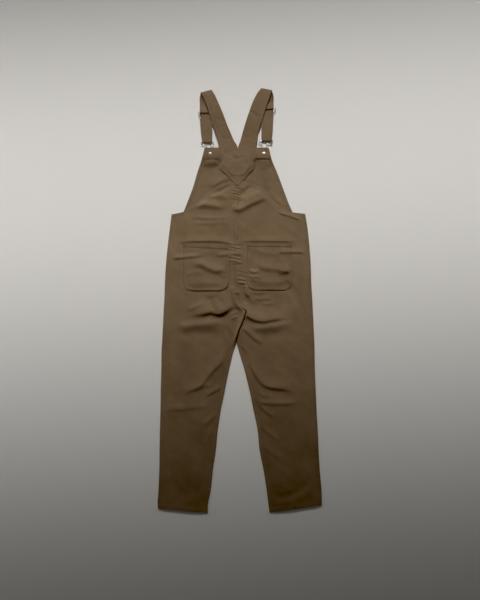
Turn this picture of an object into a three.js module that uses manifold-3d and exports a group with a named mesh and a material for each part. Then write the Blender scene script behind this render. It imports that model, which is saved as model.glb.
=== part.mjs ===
// Bib overalls in khaki cotton twill, laid flat on a surface with the back up.
//
// Millimetres, +Z up. X runs across the garment and Y from the hems to the shoulder folds.
// The tables measure x from the centre back seam and y from the hem line. At the end the whole
// garment moves, so that the origin is under the middle of its bounding box.
// Left and right are those of somebody who looks down on the garment.

import * as THREE from "three";
import Module from "manifold-3d";

const { MathUtils, Vector2, Vector3 } = THREE;

// Cloth
const CLOTH = 1.6; // wall of the twill, with what its seams add
const STRAP_CLOTH = 1.8; // two layers, stitched flat
const SEAM_GAP = 0.3; // between neighbouring pieces
const AIR = 2.6; // room between the back and the front of the garment where nothing is folded
const EDGE_ROUND = 34; // width over which a leg rounds down to its seams

// Heights above the hem line
const CROTCH_Y = 702;
const WAIST_Y = 1035; // seam between the legs' fronts and the bib
const SIDE_CORNER_Y = 1045; // the back's top edge at the side seam
const BIB_TOP_Y = 1276;
const BIB_HEM = 38; // depth of the band turned in along the bib's top
const SHORTER_FRONT = 1.5; // the front is cut this much inside the back all round

// Hardware
const WIRE_R = 1.2; // buckle's wire
const BAR_Z = 3.3; // height of the buckle's bar
const LOOP_Z = 3.85; // height of its loop, between the button's cap and the bib
const BUTTON_CAP = { radius: 8.5, height: 2.3 };
const BUTTON_SHANK = { radius: 2.8, top: 5.3 };
const TACK = { radius: 5.8, height: 1.7 };
const SLIDER = { depth: 19, bar: 2, height: 1.8, rail: 3.2, z: 3.4, clear: 0.6, corner: 3 };
const TURNED_SEGMENTS = 24; // round the buttons and tacks
const WIRE_STEPS = 62; // along a buckle's wire

// The buckle's wire, as distances from its corners. The eye is the loop's end round the button.
const BUCKLE = {
  knobIn: 2,
  straight: 14,
  corner: 3,
  drop: 3.5,
  shoulderIn: 4,
  shoulderDip: 1,
  neckDrop: 6,
  eyeTop: 4,
  eyeNarrow: 5.2,
  eyeLow: 5.5,
  eyeEnd: 8.4,
  tip: 5.2,
};

// How a strap bends, on its middle surface
const WRAP_R = SLIDER.z - STRAP_CLOTH / 2; // round a slider's bar
const LOOP_R = BAR_Z - STRAP_CLOTH / 2; // round the buckle's bar
const SHOULDER_R = 2.9; // over the shoulder
const STRAP_RISE = { before: 14, to: 2.4 }; // where it lifts towards the slider
const STRAP_END = { sag: 0.1, level: 13.6, tuck: 2 }; // where its sewn end lies on the slider

// What the bib rests on at its corners: it stands on the buckle and the button's cap.
const BUTTON_LIFT = { height: 5.7, flat: 23, reach: 56 };
const BUTTONS = [
  { side: "left", x: -96, y: 1255 },
  { side: "right", x: 92, y: 1256 },
];

// The outline. seam is the middle between the two halves, part the room between them.
const OUTLINE = [
  { y: 0, left: -278, right: 294, seam: 3.5, part: 217 },
  { y: 26, left: -280, right: 294, seam: 1.8, part: 213 },
  { y: 79, left: -277, right: 293, seam: 3.5, part: 196 },
  { y: 149, left: -274, right: 287, seam: 1.8, part: 178 },
  { y: 219, left: -273, right: 283, seam: 0, part: 154 },
  { y: 289, left: -272, right: 280, seam: 0, part: 140 },
  { y: 359, left: -270, right: 276, seam: -1.8, part: 115 },
  { y: 429, left: -269, right: 273, seam: -1.8, part: 87 },
  { y: 499, left: -267, right: 270, seam: -3.5, part: 56 },
  { y: 569, left: -266, right: 269, seam: -5, part: 17 },
  { y: 600, left: -264, right: 268, seam: -4, part: 0 },
  { y: 640, left: -262, right: 266, seam: 8, part: 0 },
  { y: CROTCH_Y, left: -259, right: 263, seam: 29, part: 0 },
  { y: 722, left: -258, right: 262, seam: 9, part: 0 },
  { y: 760, left: -256, right: 260, seam: -10, part: 0 },
  { y: 812, left: -254, right: 257, seam: 0, part: 0 },
  { y: 849, left: -252, right: 256, seam: 0, part: 0 },
  { y: 919, left: -246, right: 252, seam: 0, part: 0 },
  { y: 989, left: -238, right: 245, seam: 0, part: 0 },
  { y: SIDE_CORNER_Y, left: -231, right: 236, seam: 0, part: 0 },
];

// How far the hem lies above the hem line.
const HEM = [
  { x: -280, y: 14 },
  { x: -105, y: 0 },
  { x: 110, y: 2 },
  { x: 294, y: 26 },
];

// The low back's top edge, from one side seam up to the yoke and down to the other.
const BACK_TOP = [
  { x: -232, y: 1043 },
  { x: -190, y: 1052 },
  { x: -168, y: 1066 },
  { x: -133, y: 1092 },
  { x: -101, y: 1120 },
  { x: -62, y: 1145 },
  { x: -24, y: 1157 },
  { x: 0, y: 1168 },
  { x: 24, y: 1157 },
  { x: 62, y: 1145 },
  { x: 101, y: 1119 },
  { x: 124, y: 1092 },
  { x: 147, y: 1071 },
  { x: 180, y: 1053 },
  { x: 236, y: 1045 },
];

// The bib's slanted sides.
const BIB = [
  { y: WAIST_Y, left: -196, right: 199 },
  { y: 1080, left: -178, right: 179 },
  { y: 1136, left: -157, right: 158 },
  { y: 1192, left: -140, right: 137 },
  { y: 1234, left: -126, right: 119 },
  { y: BIB_TOP_Y, left: -115, right: 108 },
];

// The V in which the straps merge, from its point up.
const YOKE = [
  { y: 1145, left: -1.5, right: 1.5 },
  { y: 1156, left: -14, right: 12 },
  { y: 1180, left: -40, right: 34 },
  { y: 1202, left: -62, right: 56 },
  { y: 1214, left: -64, right: 58 },
  { y: BIB_TOP_Y, left: -65, right: 66 },
];

// The largest folds, as lines over the back. rise is their height, wide how softly they fall off on
// the left of the line's direction, and steep the same on its right. A trough has a negative rise.
const FOLDS = [
  { line: [[-200, 692], [-140, 695], [-96, 704], [-72, 697], [-36, 713], [-2, 730]], rise: 9, wide: 30, steep: 11 },
  { line: [[0, 714], [34, 690], [60, 676], [88, 671], [125, 677], [196, 686]], rise: 9, wide: 30, steep: 11 },
  { line: [[-215, 648], [-133, 658], [-40, 664]], rise: 6, wide: 14, steep: 22 },
  { line: [[38, 646], [105, 649], [205, 666]], rise: 5, wide: 14, steep: 16 },
  { line: [[-240, 620], [-133, 630], [-28, 607]], rise: -1.8, wide: 16, steep: 16 },
  { line: [[66, 614], [147, 622], [228, 614]], rise: -1.5, wide: 15, steep: 15 },
  { line: [[175, 785], [217, 724], [248, 651]], rise: -2.6, wide: 14, steep: 14 },
  { line: [[12, 800], [13, 770], [20, 748], [40, 722]], rise: -3, wide: 12, steep: 14 },
  { line: [[-178, 876], [-126, 870], [-98, 856], [-70, 849], [-38, 860]], rise: 4, wide: 20, steep: 13 },
  { line: [[64, 874], [110, 858], [150, 850], [196, 846]], rise: 3.6, wide: 22, steep: 13 },
  { line: [[-202, 414], [-134, 443], [-103, 479], [-80, 506], [-36, 546]], rise: 4.5, wide: 22, steep: 12 },
  { line: [[26, 546], [56, 499], [92, 448], [121, 438], [206, 422]], rise: 6.5, wide: 26, steep: 11 },
  { line: [[46, 414], [84, 387], [147, 382], [220, 386]], rise: 3.4, wide: 15, steep: 10 },
  { line: [[74, 310], [105, 283], [146, 252]], rise: 2.4, wide: 13, steep: 10 },
  { line: [[-126, 298], [-91, 329], [-60, 350]], rise: 2.4, wide: 13, steep: 10 },
  { line: [[-262, 362], [-186, 364], [-100, 376]], rise: 2.2, wide: 16, steep: 12 },
  { line: [[-245, 122], [-210, 77], [-160, 62], [-100, 150]], rise: -2.2, wide: 14, steep: 14 },
  { line: [[108, 84], [154, 56], [217, 77], [285, 140]], rise: -2.2, wide: 14, steep: 14 },
  { line: [[-190, 1070], [-122, 1079], [-36, 1066]], rise: 6, wide: 16, steep: 12 },
  { line: [[-56, 1064], [0, 1061], [49, 1084], [124, 1114]], rise: 6, wide: 17, steep: 12 },
  { line: [[8, 1106], [32, 1130], [66, 1152]], rise: -2.4, wide: 12, steep: 12 },
];
const FOLD_STEPS = 14; // straight runs in each fold's line
const FOLD_TAPER = 0.3; // share of its length over which a fold dies out at each end

// Rows of points across each half, closer together where the folds are.
const ROWS = [
  { from: 0, to: 150, rows: 8 },
  { from: 150, to: 350, rows: 8 },
  { from: 350, to: 570, rows: 14 },
  { from: 570, to: 720, rows: 15 },
  { from: 720, to: 880, rows: 8 },
  { from: 880, to: SIDE_CORNER_Y, rows: 9 },
];
const COLUMNS = 14;
const FRONT_GRID = { rows: 26, columns: 5 };
const BIB_COLUMNS = 24;
const YOKE_GRID = { rows: 14, columns: 10 };

// Patch pockets, with the radius of their lower corners.
const POCKETS = [
  { side: "left", left: -190, right: -32, top: 944, inner: 936, bottom: 776, corner: 30 },
  { side: "right", left: 33, right: 189, top: 945, inner: 945, bottom: 778, corner: 30 },
];

// Each strap's edges. It leaves the yoke, climbs to the shoulder, turns over and comes back under
// itself. z is the height of its middle surface on the way up, and on the way down it lies flat.
const STRAPS = [
  {
    side: "left",
    up: [
      { outer: [-64.8, 1276.4], inner: [-0.6, 1276.4], z: null },
      { outer: [-70, 1300], inner: [-13, 1302], z: 6.6 },
      { outer: [-77.7, 1325], inner: [-24.5, 1328], z: 7.2 },
      { outer: [-86.5, 1353], inner: [-36.8, 1356], z: 8.2 },
      { outer: [-98, 1389], inner: [-50.8, 1394], z: 8.7 },
      { outer: [-110, 1426], inner: [-66.5, 1431], z: 8.5 },
      { outer: [-121, 1453], inner: [-80, 1461], z: 7.6 },
    ],
    shoulder: { outer: [-129, 1466], inner: [-90.5, 1477] },
    down: [
      { outer: [-133, 1452], inner: [-90, 1462] },
      { outer: [-133, 1428], inner: [-89.3, 1430] },
      { outer: [-133, 1402], inner: [-88.9, 1402] },
      { outer: [-130, 1345], inner: [-88.5, 1345] },
      { outer: [-124, 1290], inner: [-90, 1290] },
    ],
    slider: { y: 1392, outer: -138 },
    bar: { y: 1295, outer: -128.5, knob: -82.5 },
    loop: { shoulder: 1286, neck: 7.4, neckX: -101.5, x: -97, y: 1254 },
  },
  {
    side: "right",
    up: [
      { outer: [65.8, 1276.4], inner: [1, 1276.4], z: null },
      { outer: [68.6, 1304], inner: [10.5, 1304], z: 6.6 },
      { outer: [72, 1332], inner: [18.2, 1332], z: 7.2 },
      { outer: [80.5, 1358], inner: [27, 1362], z: 8.2 },
      { outer: [92.4, 1393], inner: [39.2, 1399], z: 8.7 },
      { outer: [103.6, 1429], inner: [53.2, 1437], z: 8.5 },
      { outer: [113.4, 1458], inner: [68.6, 1467], z: 7.6 },
    ],
    shoulder: { outer: [120, 1474], inner: [80.5, 1482] },
    down: [
      { outer: [126, 1458], inner: [84, 1466] },
      { outer: [125.6, 1436], inner: [83.3, 1438] },
      { outer: [125, 1412], inner: [82.6, 1412] },
      { outer: [122.5, 1352], inner: [82.6, 1352] },
      { outer: [117.5, 1296], inner: [83, 1296] },
    ],
    slider: { y: 1406, outer: 133 },
    bar: { y: 1301, outer: 122, knob: 74 },
    loop: { shoulder: 1290, neck: 7.4, neckX: 93.5, x: 92.5, y: 1255 },
  },
];

// Materials
const TWILL = new THREE.MeshStandardMaterial({ color: 0x6e5d46, roughness: 0.95, metalness: 0 });
const TWILL_STRAP = new THREE.MeshStandardMaterial({ color: 0x6c5b49, roughness: 0.95, metalness: 0 });
const NICKEL = new THREE.MeshStandardMaterial({ color: 0xc9c6c0, roughness: 0.28, metalness: 1 });
const TACK_PLATE = new THREE.MeshStandardMaterial({ color: 0xd0c8b8, roughness: 0.3, metalness: 1 });

// The value of one column between a table's rows, on a smooth line through them.
function along(table, key, column, at) {
  const last = table.length - 1;
  const here = MathUtils.clamp(at, table[0][key], table[last][key]);
  let i = 0;
  while (i < last - 1 && table[i + 1][key] < here) {
    i += 1;
  }
  const slope = (a, b) => (table[b][column] - table[a][column]) / (table[b][key] - table[a][key]);
  const gap = table[i + 1][key] - table[i][key];
  const t = (here - table[i][key]) / gap;
  const start = slope(Math.max(i - 1, 0), i + 1);
  const end = slope(i, Math.min(i + 2, last));
  const [a, b] = [table[i][column], table[i + 1][column]];
  return (
    a * (1 + 2 * t) * (1 - t) ** 2 +
    b * t * t * (3 - 2 * t) +
    gap * (start * t * (1 - t) ** 2 - end * t * t * (1 - t))
  );
}

// 0 at low, 1 at high, with a soft start and end.
function ramp(low, high, value) {
  return MathUtils.smoothstep(value, low, high);
}

// The folds' lines as short straight runs, with how far along each starts.
const foldRuns = FOLDS.map(({ line, rise, wide, steep }) => {
  const points = new THREE.SplineCurve(line.map(([x, y]) => new Vector2(x, y))).getPoints(FOLD_STEPS);
  return { points, rise, wide, steep };
});

// A fold's height at a point: greatest on its line, nothing at the line's ends.
function foldHeight({ points, rise, wide, steep }, x, y) {
  let nearest = { away: Infinity };
  for (let i = 0; i < points.length - 1; i += 1) {
    const [dx, dy] = [points[i + 1].x - points[i].x, points[i + 1].y - points[i].y];
    const [px, py] = [x - points[i].x, y - points[i].y];
    const t = MathUtils.clamp((px * dx + py * dy) / (dx * dx + dy * dy), 0, 1);
    const away = Math.hypot(px - t * dx, py - t * dy);
    if (away < nearest.away) {
      nearest = { away, leftSide: dx * py - dy * px > 0, share: (i + t) / (points.length - 1) };
    }
  }
  const fade = nearest.leftSide ? wide : steep;
  const taper = ramp(0, FOLD_TAPER, nearest.share) * ramp(0, FOLD_TAPER, 1 - nearest.share);
  return rise * taper * Math.exp(-((nearest.away / fade) ** 2));
}

// The outline at a height: the outer and inner edges of one half.
function edges(side, y) {
  const outer = along(OUTLINE, "y", side, y);
  const half = Math.max(along(OUTLINE, "y", "part", y), SEAM_GAP) / 2;
  const inner = along(OUTLINE, "y", "seam", y) + (side === "left" ? -half : half);
  return { outer, inner };
}

// How far the back stands clear of what it lies on.
function loft(side, x, y) {
  const { outer, inner } = edges(side, y);
  const fromSide = ramp(0, EDGE_ROUND, Math.abs(x - outer));
  const fromInner = ramp(0, EDGE_ROUND, Math.abs(x - inner));
  const leg = ramp(CROTCH_Y + 34, CROTCH_Y - 6, y);
  const fromTop = ramp(0, 40, along(BACK_TOP, "x", "y", x) - y);
  const rounding = fromSide * MathUtils.lerp(1, fromInner, leg) * (0.15 + 0.85 * fromTop);
  const folds = foldRuns.reduce((sum, fold) => sum + foldHeight(fold, x, y), 0);
  return Math.max(0, rounding * (AIR + folds));
}

// How far the bib stands clear of the surface, over the buttons and buckles.
function bibLift(x, y) {
  const { height, flat, reach } = BUTTON_LIFT;
  const lifts = BUTTONS.map((button) => 1 - ramp(flat, reach, Math.hypot(x - button.x, y - button.y)));
  return height * Math.max(...lifts);
}

// A closed mesh from points and triangles, turned the right way out.
function solid(points, triangles) {
  const geometry = new THREE.BufferGeometry();
  geometry.setAttribute("position", new THREE.Float32BufferAttribute(points.flatMap((p) => p.toArray()), 3));
  const volume = triangles.reduce((sum, [a, b, c]) => {
    return sum + points[a].dot(new Vector3().crossVectors(points[b], points[c]));
  }, 0);
  geometry.setIndex(triangles.flatMap(([a, b, c]) => (volume < 0 ? [a, c, b] : [a, b, c])));
  geometry.computeVertexNormals();
  return geometry;
}

// A wall between two grids of points of the same size, closed round its rim.
function wall(lower, upper) {
  const [rows, columns] = [lower.length, lower[0].length];
  const points = [...lower.flat(), ...upper.flat()];
  const under = (r, c) => r * columns + c;
  const over = (r, c) => rows * columns + r * columns + c;
  const triangles = [];
  const quad = (a, b, c, d) => {
    triangles.push([a, b, c], [a, c, d]);
  };
  for (let r = 0; r < rows - 1; r += 1) {
    for (let c = 0; c < columns - 1; c += 1) {
      quad(over(r, c), over(r, c + 1), over(r + 1, c + 1), over(r + 1, c));
      quad(under(r, c), under(r + 1, c), under(r + 1, c + 1), under(r, c + 1));
    }
    quad(under(r, 0), over(r, 0), over(r + 1, 0), under(r + 1, 0));
    quad(over(r, columns - 1), under(r, columns - 1), under(r + 1, columns - 1), over(r + 1, columns - 1));
  }
  for (let c = 0; c < columns - 1; c += 1) {
    quad(under(0, c), under(0, c + 1), over(0, c + 1), over(0, c));
    quad(over(rows - 1, c), over(rows - 1, c + 1), under(rows - 1, c + 1), under(rows - 1, c));
  }
  return solid(points, triangles);
}

// The grid of points moved straight up.
function raised(grid, by) {
  return grid.map((row) => row.map((p) => new Vector3(p.x, p.y, p.z + by)));
}

// Heights of the rows of points, from a table of spans.
function rowHeights(spans) {
  const heights = spans.flatMap(({ from, to, rows }) => {
    return Array.from({ length: rows }, (_, i) => MathUtils.lerp(from, to, i / rows));
  });
  return [...heights, spans.at(-1).to];
}

// The underside of one half of the back. Its rows follow the hem below and the low back's edge above.
function backGrid(side) {
  return rowHeights(ROWS).map((level) => {
    const { outer, inner } = edges(side, level);
    const nearHem = 1 - ramp(0, 70, level);
    const nearTop = ramp(860, SIDE_CORNER_Y, level);
    return Array.from({ length: COLUMNS + 1 }, (_, c) => {
      const x = MathUtils.lerp(outer, inner, c / COLUMNS);
      const hem = nearHem * along(HEM, "x", "y", x);
      const top = nearTop * (along(BACK_TOP, "x", "y", x) - SIDE_CORNER_Y);
      const y = level + hem + top;
      return new Vector3(x, y, CLOTH + SEAM_GAP + loft(side, x, y));
    });
  });
}

// One leg's front, flat on the surface from the hem to the waist seam.
function frontGrid(side) {
  const { rows, columns } = FRONT_GRID;
  const spans = [{ from: SHORTER_FRONT, to: WAIST_Y, rows }];
  const inwards = side === "left" ? SHORTER_FRONT : -SHORTER_FRONT;
  return rowHeights(spans).map((level) => {
    const { outer, inner } = edges(side, level);
    const straight = side === "left" ? -SEAM_GAP / 2 : SEAM_GAP / 2;
    const meets = ramp(560, 630, level);
    const seam = MathUtils.lerp(inner - inwards, straight, meets);
    return Array.from({ length: columns + 1 }, (_, c) => {
      const x = MathUtils.lerp(outer + inwards, seam, c / columns);
      const hem = (1 - ramp(0, 70, level)) * along(HEM, "x", "y", x);
      return new Vector3(x, level + hem, 0);
    });
  });
}

// The bib's underside, with a row of points where its turned-in band ends.
const BIB_ROWS = [
  { from: WAIST_Y + SEAM_GAP, to: 1200, rows: 7 },
  { from: 1200, to: BIB_TOP_Y - BIB_HEM, rows: 4 },
  { from: BIB_TOP_Y - BIB_HEM, to: BIB_TOP_Y, rows: 5 },
];
const bibGrid = rowHeights(BIB_ROWS).map((y) => {
  return Array.from({ length: BIB_COLUMNS + 1 }, (_, c) => {
    const x = MathUtils.lerp(along(BIB, "y", "left", y), along(BIB, "y", "right", y), c / BIB_COLUMNS);
    return new Vector3(x, y, bibLift(x, y));
  });
});
const bandGrid = raised(bibGrid.slice(-1 - BIB_ROWS.at(-1).rows), CLOTH + SEAM_GAP);

// The underside of the yoke: over the back's point below, and over the bib's band above.
function underYoke(x, y) {
  const layers = 2 * (CLOTH + SEAM_GAP) + SEAM_GAP;
  return layers + Math.max(loft(x < 0 ? "left" : "right", x, y), bibLift(x, y));
}
const yokeGrid = rowHeights([{ from: YOKE[0].y, to: BIB_TOP_Y, rows: YOKE_GRID.rows }]).map((y) => {
  return Array.from({ length: YOKE_GRID.columns + 1 }, (_, c) => {
    const [left, right] = [along(YOKE, "y", "left", y), along(YOKE, "y", "right", y)];
    const x = MathUtils.lerp(left, right, c / YOKE_GRID.columns);
    return new Vector3(x, y, underYoke(x, y));
  });
});

// A flat band along pairs of edge points, as thick as a strap.
function ribbon(stations) {
  const middle = stations.map(({ outer, inner }) => new Vector3().lerpVectors(outer, inner, 0.5));
  const faces = [-0.5, 0.5].map((side) => {
    return stations.map(({ outer, inner }, i) => {
      const ahead = middle[Math.min(i + 1, middle.length - 1)];
      const behind = middle[Math.max(i - 1, 0)];
      const across = new Vector3().subVectors(inner, outer);
      const out = new Vector3().subVectors(ahead, behind).cross(across).setLength(side * STRAP_CLOTH);
      return [0, 0.5, 1].map((t) => new Vector3().lerpVectors(outer, inner, t).add(out));
    });
  });
  return wall(faces[0], faces[1]);
}

// The points where a strap's middle surface runs, from the slider to the buckle's bar and back.
function threading(strap) {
  const over = SLIDER.z + WRAP_R;
  const pitch = (SLIDER.depth - SLIDER.bar) / 2;
  const slant = Math.asin((2 * WRAP_R) / pitch);
  const { y } = strap.slider;
  const path = [[y + pitch + STRAP_RISE.before, STRAP_CLOTH / 2 + STRAP_RISE.to]];
  for (const turn of [0.3, 0, -0.5, -1]) {
    const angle = turn * slant;
    path.push([y + pitch + WRAP_R * Math.sin(angle), SLIDER.z + WRAP_R * Math.cos(angle)]);
  }
  for (const turn of [1, 0.5, 0]) {
    const angle = turn * slant;
    path.push([y + WRAP_R * Math.sin(angle), SLIDER.z - WRAP_R * Math.cos(angle)]);
  }
  path.push([y - 2 * pitch, STRAP_CLOTH / 2], [(y + strap.bar.y) / 2, STRAP_CLOTH / 2]);
  for (const degrees of [0, 45, 90, 135, 180]) {
    const angle = MathUtils.degToRad(degrees);
    path.push([strap.bar.y - LOOP_R * Math.sin(angle), BAR_Z - LOOP_R * Math.cos(angle)]);
  }
  path.push([(y + strap.bar.y) / 2, over - STRAP_END.sag]);
  path.push([y - STRAP_END.level, over], [y + STRAP_END.tuck, over]);
  return path;
}

// A strap from the yoke over the shoulder to the buckle and back up to the slider.
function strapGeometry(strap) {
  const at = ([x, y], z) => new Vector3(x, y, z);
  const lies = ([x, y]) => underYoke(x, y) + STRAP_CLOTH / 2;
  const up = strap.up.map(({ outer, inner, z }) => {
    return { outer: at(outer, z ?? lies(outer)), inner: at(inner, z ?? lies(inner)) };
  });
  const { outer, inner } = strap.shoulder;
  const alongFold = new Vector2(inner[0] - outer[0], inner[1] - outer[1]).normalize();
  const beyond = new Vector2(-alongFold.y, alongFold.x);
  if (beyond.y < 0) {
    beyond.negate();
  }
  const over = [-70, -35, 0, 35, 70].map((degrees) => {
    const angle = MathUtils.degToRad(degrees);
    const reach = SHOULDER_R * Math.cos(angle);
    const z = STRAP_CLOTH / 2 + SHOULDER_R * (1 - Math.sin(angle));
    const shift = ([x, y]) => at([x + reach * beyond.x, y + reach * beyond.y], z);
    return { outer: shift(outer), inner: shift(inner) };
  });
  const flat = strap.down.slice(0, 2).map((row) => {
    return { outer: at(row.outer, STRAP_CLOTH / 2), inner: at(row.inner, STRAP_CLOTH / 2) };
  });
  const table = strap.down.map((row) => ({ y: row.outer[1], outer: row.outer[0], inner: row.inner[0] }));
  table.reverse();
  const threaded = threading(strap).map(([y, z]) => {
    const edge = (column) => at([along(table, "y", column, y), y], z);
    return { outer: edge("outer"), inner: edge("inner") };
  });
  return ribbon([...up, ...over, ...flat, ...threaded]);
}

// A round bar along a smooth line, with closed ends.
function rod(points, radius, steps) {
  const path = new THREE.CatmullRomCurve3(points, false, "centripetal");
  const section = new THREE.Shape().absarc(0, 0, radius, 0, 2 * Math.PI);
  const shape = new THREE.Shape(section.getPoints(5).slice(0, -1));
  return new THREE.ExtrudeGeometry(shape, { steps, extrudePath: path, bevelEnabled: false });
}

// The buckle: from the knob along the bar, in to the neck, round the button and back to the knob.
function buckleGeometry({ bar, loop }) {
  const out = Math.sign(bar.outer - bar.knob);
  const point = (x, y, z) => new Vector3(x, y, z);
  const neckOuter = loop.neckX + out * loop.neck;
  const neckInner = loop.neckX - out * loop.neck;
  const shoulderZ = (BAR_Z + LOOP_Z) / 2;
  const straight = out * BUCKLE.straight;
  const shoulderIn = out * BUCKLE.shoulderIn;
  const shoulderY = loop.shoulder - BUCKLE.shoulderDip;
  const neckY = loop.shoulder - BUCKLE.neckDrop;
  const line = [
    point(bar.knob + out * BUCKLE.knobIn, bar.y, BAR_Z),
    point(bar.knob + straight, bar.y, BAR_Z),
    point(bar.outer - straight, bar.y, BAR_Z),
    point(bar.outer - out * BUCKLE.corner, bar.y, BAR_Z),
    point(bar.outer, bar.y - BUCKLE.drop, BAR_Z),
    point(bar.outer - shoulderIn, loop.shoulder, shoulderZ),
    point(neckOuter + shoulderIn, shoulderY, shoulderZ),
    point(neckOuter, neckY, LOOP_Z),
    point(loop.x + out * loop.neck, loop.y + BUCKLE.eyeTop, LOOP_Z),
    point(loop.x + out * BUCKLE.eyeNarrow, loop.y - BUCKLE.eyeLow, LOOP_Z),
    point(loop.x, loop.y - BUCKLE.eyeEnd, LOOP_Z),
    point(loop.x - out * BUCKLE.eyeNarrow, loop.y - BUCKLE.eyeLow, LOOP_Z),
    point(loop.x - out * loop.neck, loop.y + BUCKLE.eyeTop, LOOP_Z),
    point(neckInner, neckY, LOOP_Z),
    point(neckInner - shoulderIn, shoulderY, shoulderZ),
    point(bar.knob + out * BUCKLE.corner, loop.shoulder, shoulderZ),
    point(bar.knob, bar.y - BUCKLE.tip, BAR_Z),
  ];
  return rod(line, WIRE_R, WIRE_STEPS);
}

// The slider: a flat frame with a bar across its middle.
function sliderGeometry(strap) {
  const table = strap.down[2];
  const outer = strap.slider.outer;
  const inner = table.inner[0] - Math.sign(outer - table.inner[0]) * (SLIDER.rail + SLIDER.clear);
  const width = Math.abs(outer - inner);
  const rounded = (w, h, r) => {
    const [x, y] = [w / 2, h / 2];
    const path = new THREE.Shape();
    path.moveTo(-x + r, -y);
    path.lineTo(x - r, -y);
    path.quadraticCurveTo(x, -y, x, -y + r);
    path.lineTo(x, y - r);
    path.quadraticCurveTo(x, y, x - r, y);
    path.lineTo(-x + r, y);
    path.quadraticCurveTo(-x, y, -x, y - r);
    path.lineTo(-x, -y + r);
    path.quadraticCurveTo(-x, -y, -x + r, -y);
    return path;
  };
  const frame = rounded(width, SLIDER.depth, SLIDER.corner);
  const slot = (SLIDER.depth - 3 * SLIDER.bar) / 2;
  for (const side of [-1, 1]) {
    const hole = rounded(width - 2 * SLIDER.rail, slot, 1);
    const middle = (side * (slot + SLIDER.bar)) / 2;
    frame.holes.push(new THREE.Path(hole.getPoints(3).map((p) => new Vector2(p.x, p.y + middle))));
  }
  const options = { depth: SLIDER.height, bevelEnabled: false, curveSegments: 3 };
  const geometry = new THREE.ExtrudeGeometry(frame, options);
  return geometry.translate((outer + inner) / 2, strap.slider.y, SLIDER.z - SLIDER.height / 2);
}

// A turned piece: the profile is radius and height, from the axis round to the axis.
function turned(profile) {
  const points = profile.map(([r, z]) => new Vector2(r, z));
  return new THREE.LatheGeometry(points, TURNED_SEGMENTS).rotateX(Math.PI / 2);
}

// Meshes that can be cut with one another
const wasm = await Module();
wasm.setup();

function toManifold(geometry) {
  const vertices = Float32Array.from(geometry.getAttribute("position").array);
  const triangles = Uint32Array.from(geometry.getIndex().array);
  return new wasm.Manifold(new wasm.Mesh({ numProp: 3, vertProperties: vertices, triVerts: triangles }));
}

function fromManifold(manifold) {
  const { numProp, vertProperties, triVerts } = manifold.getMesh();
  const points = [];
  for (let i = 0; i < vertProperties.length; i += numProp) {
    points.push(new Vector3(vertProperties[i], vertProperties[i + 1], vertProperties[i + 2]));
  }
  const triangles = [];
  for (let i = 0; i < triVerts.length; i += 3) {
    triangles.push([triVerts[i], triVerts[i + 1], triVerts[i + 2]]);
  }
  return solid(points, triangles);
}

const CUTTER_HEIGHT = 60;

// A pocket's outline as a closed upright block: straight top, rounded lower corners.
function pocketBlock({ left, right, top, inner, bottom, corner, side }) {
  const [topLeft, topRight] = side === "left" ? [top, inner] : [inner, top];
  const ring = [new Vector2(right, topRight), new Vector2(left, topLeft)];
  const turns = [0, 18, 36, 54, 72, 90].map(MathUtils.degToRad);
  for (const angle of turns) {
    ring.push(new Vector2(left + corner * (1 - Math.cos(angle)), bottom + corner * (1 - Math.sin(angle))));
  }
  for (const angle of turns.toReversed()) {
    ring.push(new Vector2(right - corner * (1 - Math.cos(angle)), bottom + corner * (1 - Math.sin(angle))));
  }
  const count = ring.length;
  const points = [0, CUTTER_HEIGHT].flatMap((z) => ring.map((p) => new Vector3(p.x, p.y, z)));
  const cap = THREE.ShapeUtils.triangulateShape(ring, []);
  const triangles = cap.flatMap(([a, b, c]) => [[a, c, b], [a + count, b + count, c + count]]);
  for (let i = 0; i < count; i += 1) {
    const next = (i + 1) % count;
    triangles.push([i, next, next + count], [i, next + count, i + count]);
  }
  return solid(points, triangles);
}

// A pocket is a wall moved out from the back's own points, cut to the pocket's outline. The slab
// that it is cut from reaches this far past it.
const SLAB_MARGIN = 30;

function pocketGeometry(pocket, backTop) {
  const [low, high] = [pocket.bottom - SLAB_MARGIN, pocket.top + SLAB_MARGIN];
  const rows = backTop.filter((row) => row.some((p) => p.y > low) && row.some((p) => p.y < high));
  const under = raised(rows, SEAM_GAP);
  const slab = toManifold(wall(under, raised(under, CLOTH)));
  return fromManifold(slab.intersect(toManifold(pocketBlock(pocket))));
}

// The garment
const garment = new THREE.Group();

function place(name, geometry, material) {
  const mesh = new THREE.Mesh(geometry, material);
  mesh.name = name;
  garment.add(mesh);
}

for (const side of ["left", "right"]) {
  const back = backGrid(side);
  const backTop = raised(back, CLOTH);
  const front = frontGrid(side);
  place(`back_panel_${side}`, wall(back, backTop), TWILL);
  place(`front_leg_${side}`, wall(front, raised(front, CLOTH)), TWILL);
  const pocket = POCKETS.find((row) => row.side === side);
  place(`back_pocket_${side}`, pocketGeometry(pocket, backTop), TWILL);
}

place("front_bib", wall(bibGrid, raised(bibGrid, CLOTH)), TWILL);
place("bib_top_hem", wall(bandGrid, raised(bandGrid, CLOTH)), TWILL);
place("back_yoke", wall(yokeGrid, raised(yokeGrid, STRAP_CLOTH)), TWILL_STRAP);

for (const strap of STRAPS) {
  place(`strap_${strap.side}`, strapGeometry(strap), TWILL_STRAP);
  place(`slider_${strap.side}`, sliderGeometry(strap), NICKEL);
  place(`buckle_${strap.side}`, buckleGeometry(strap), NICKEL);
}

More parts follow.
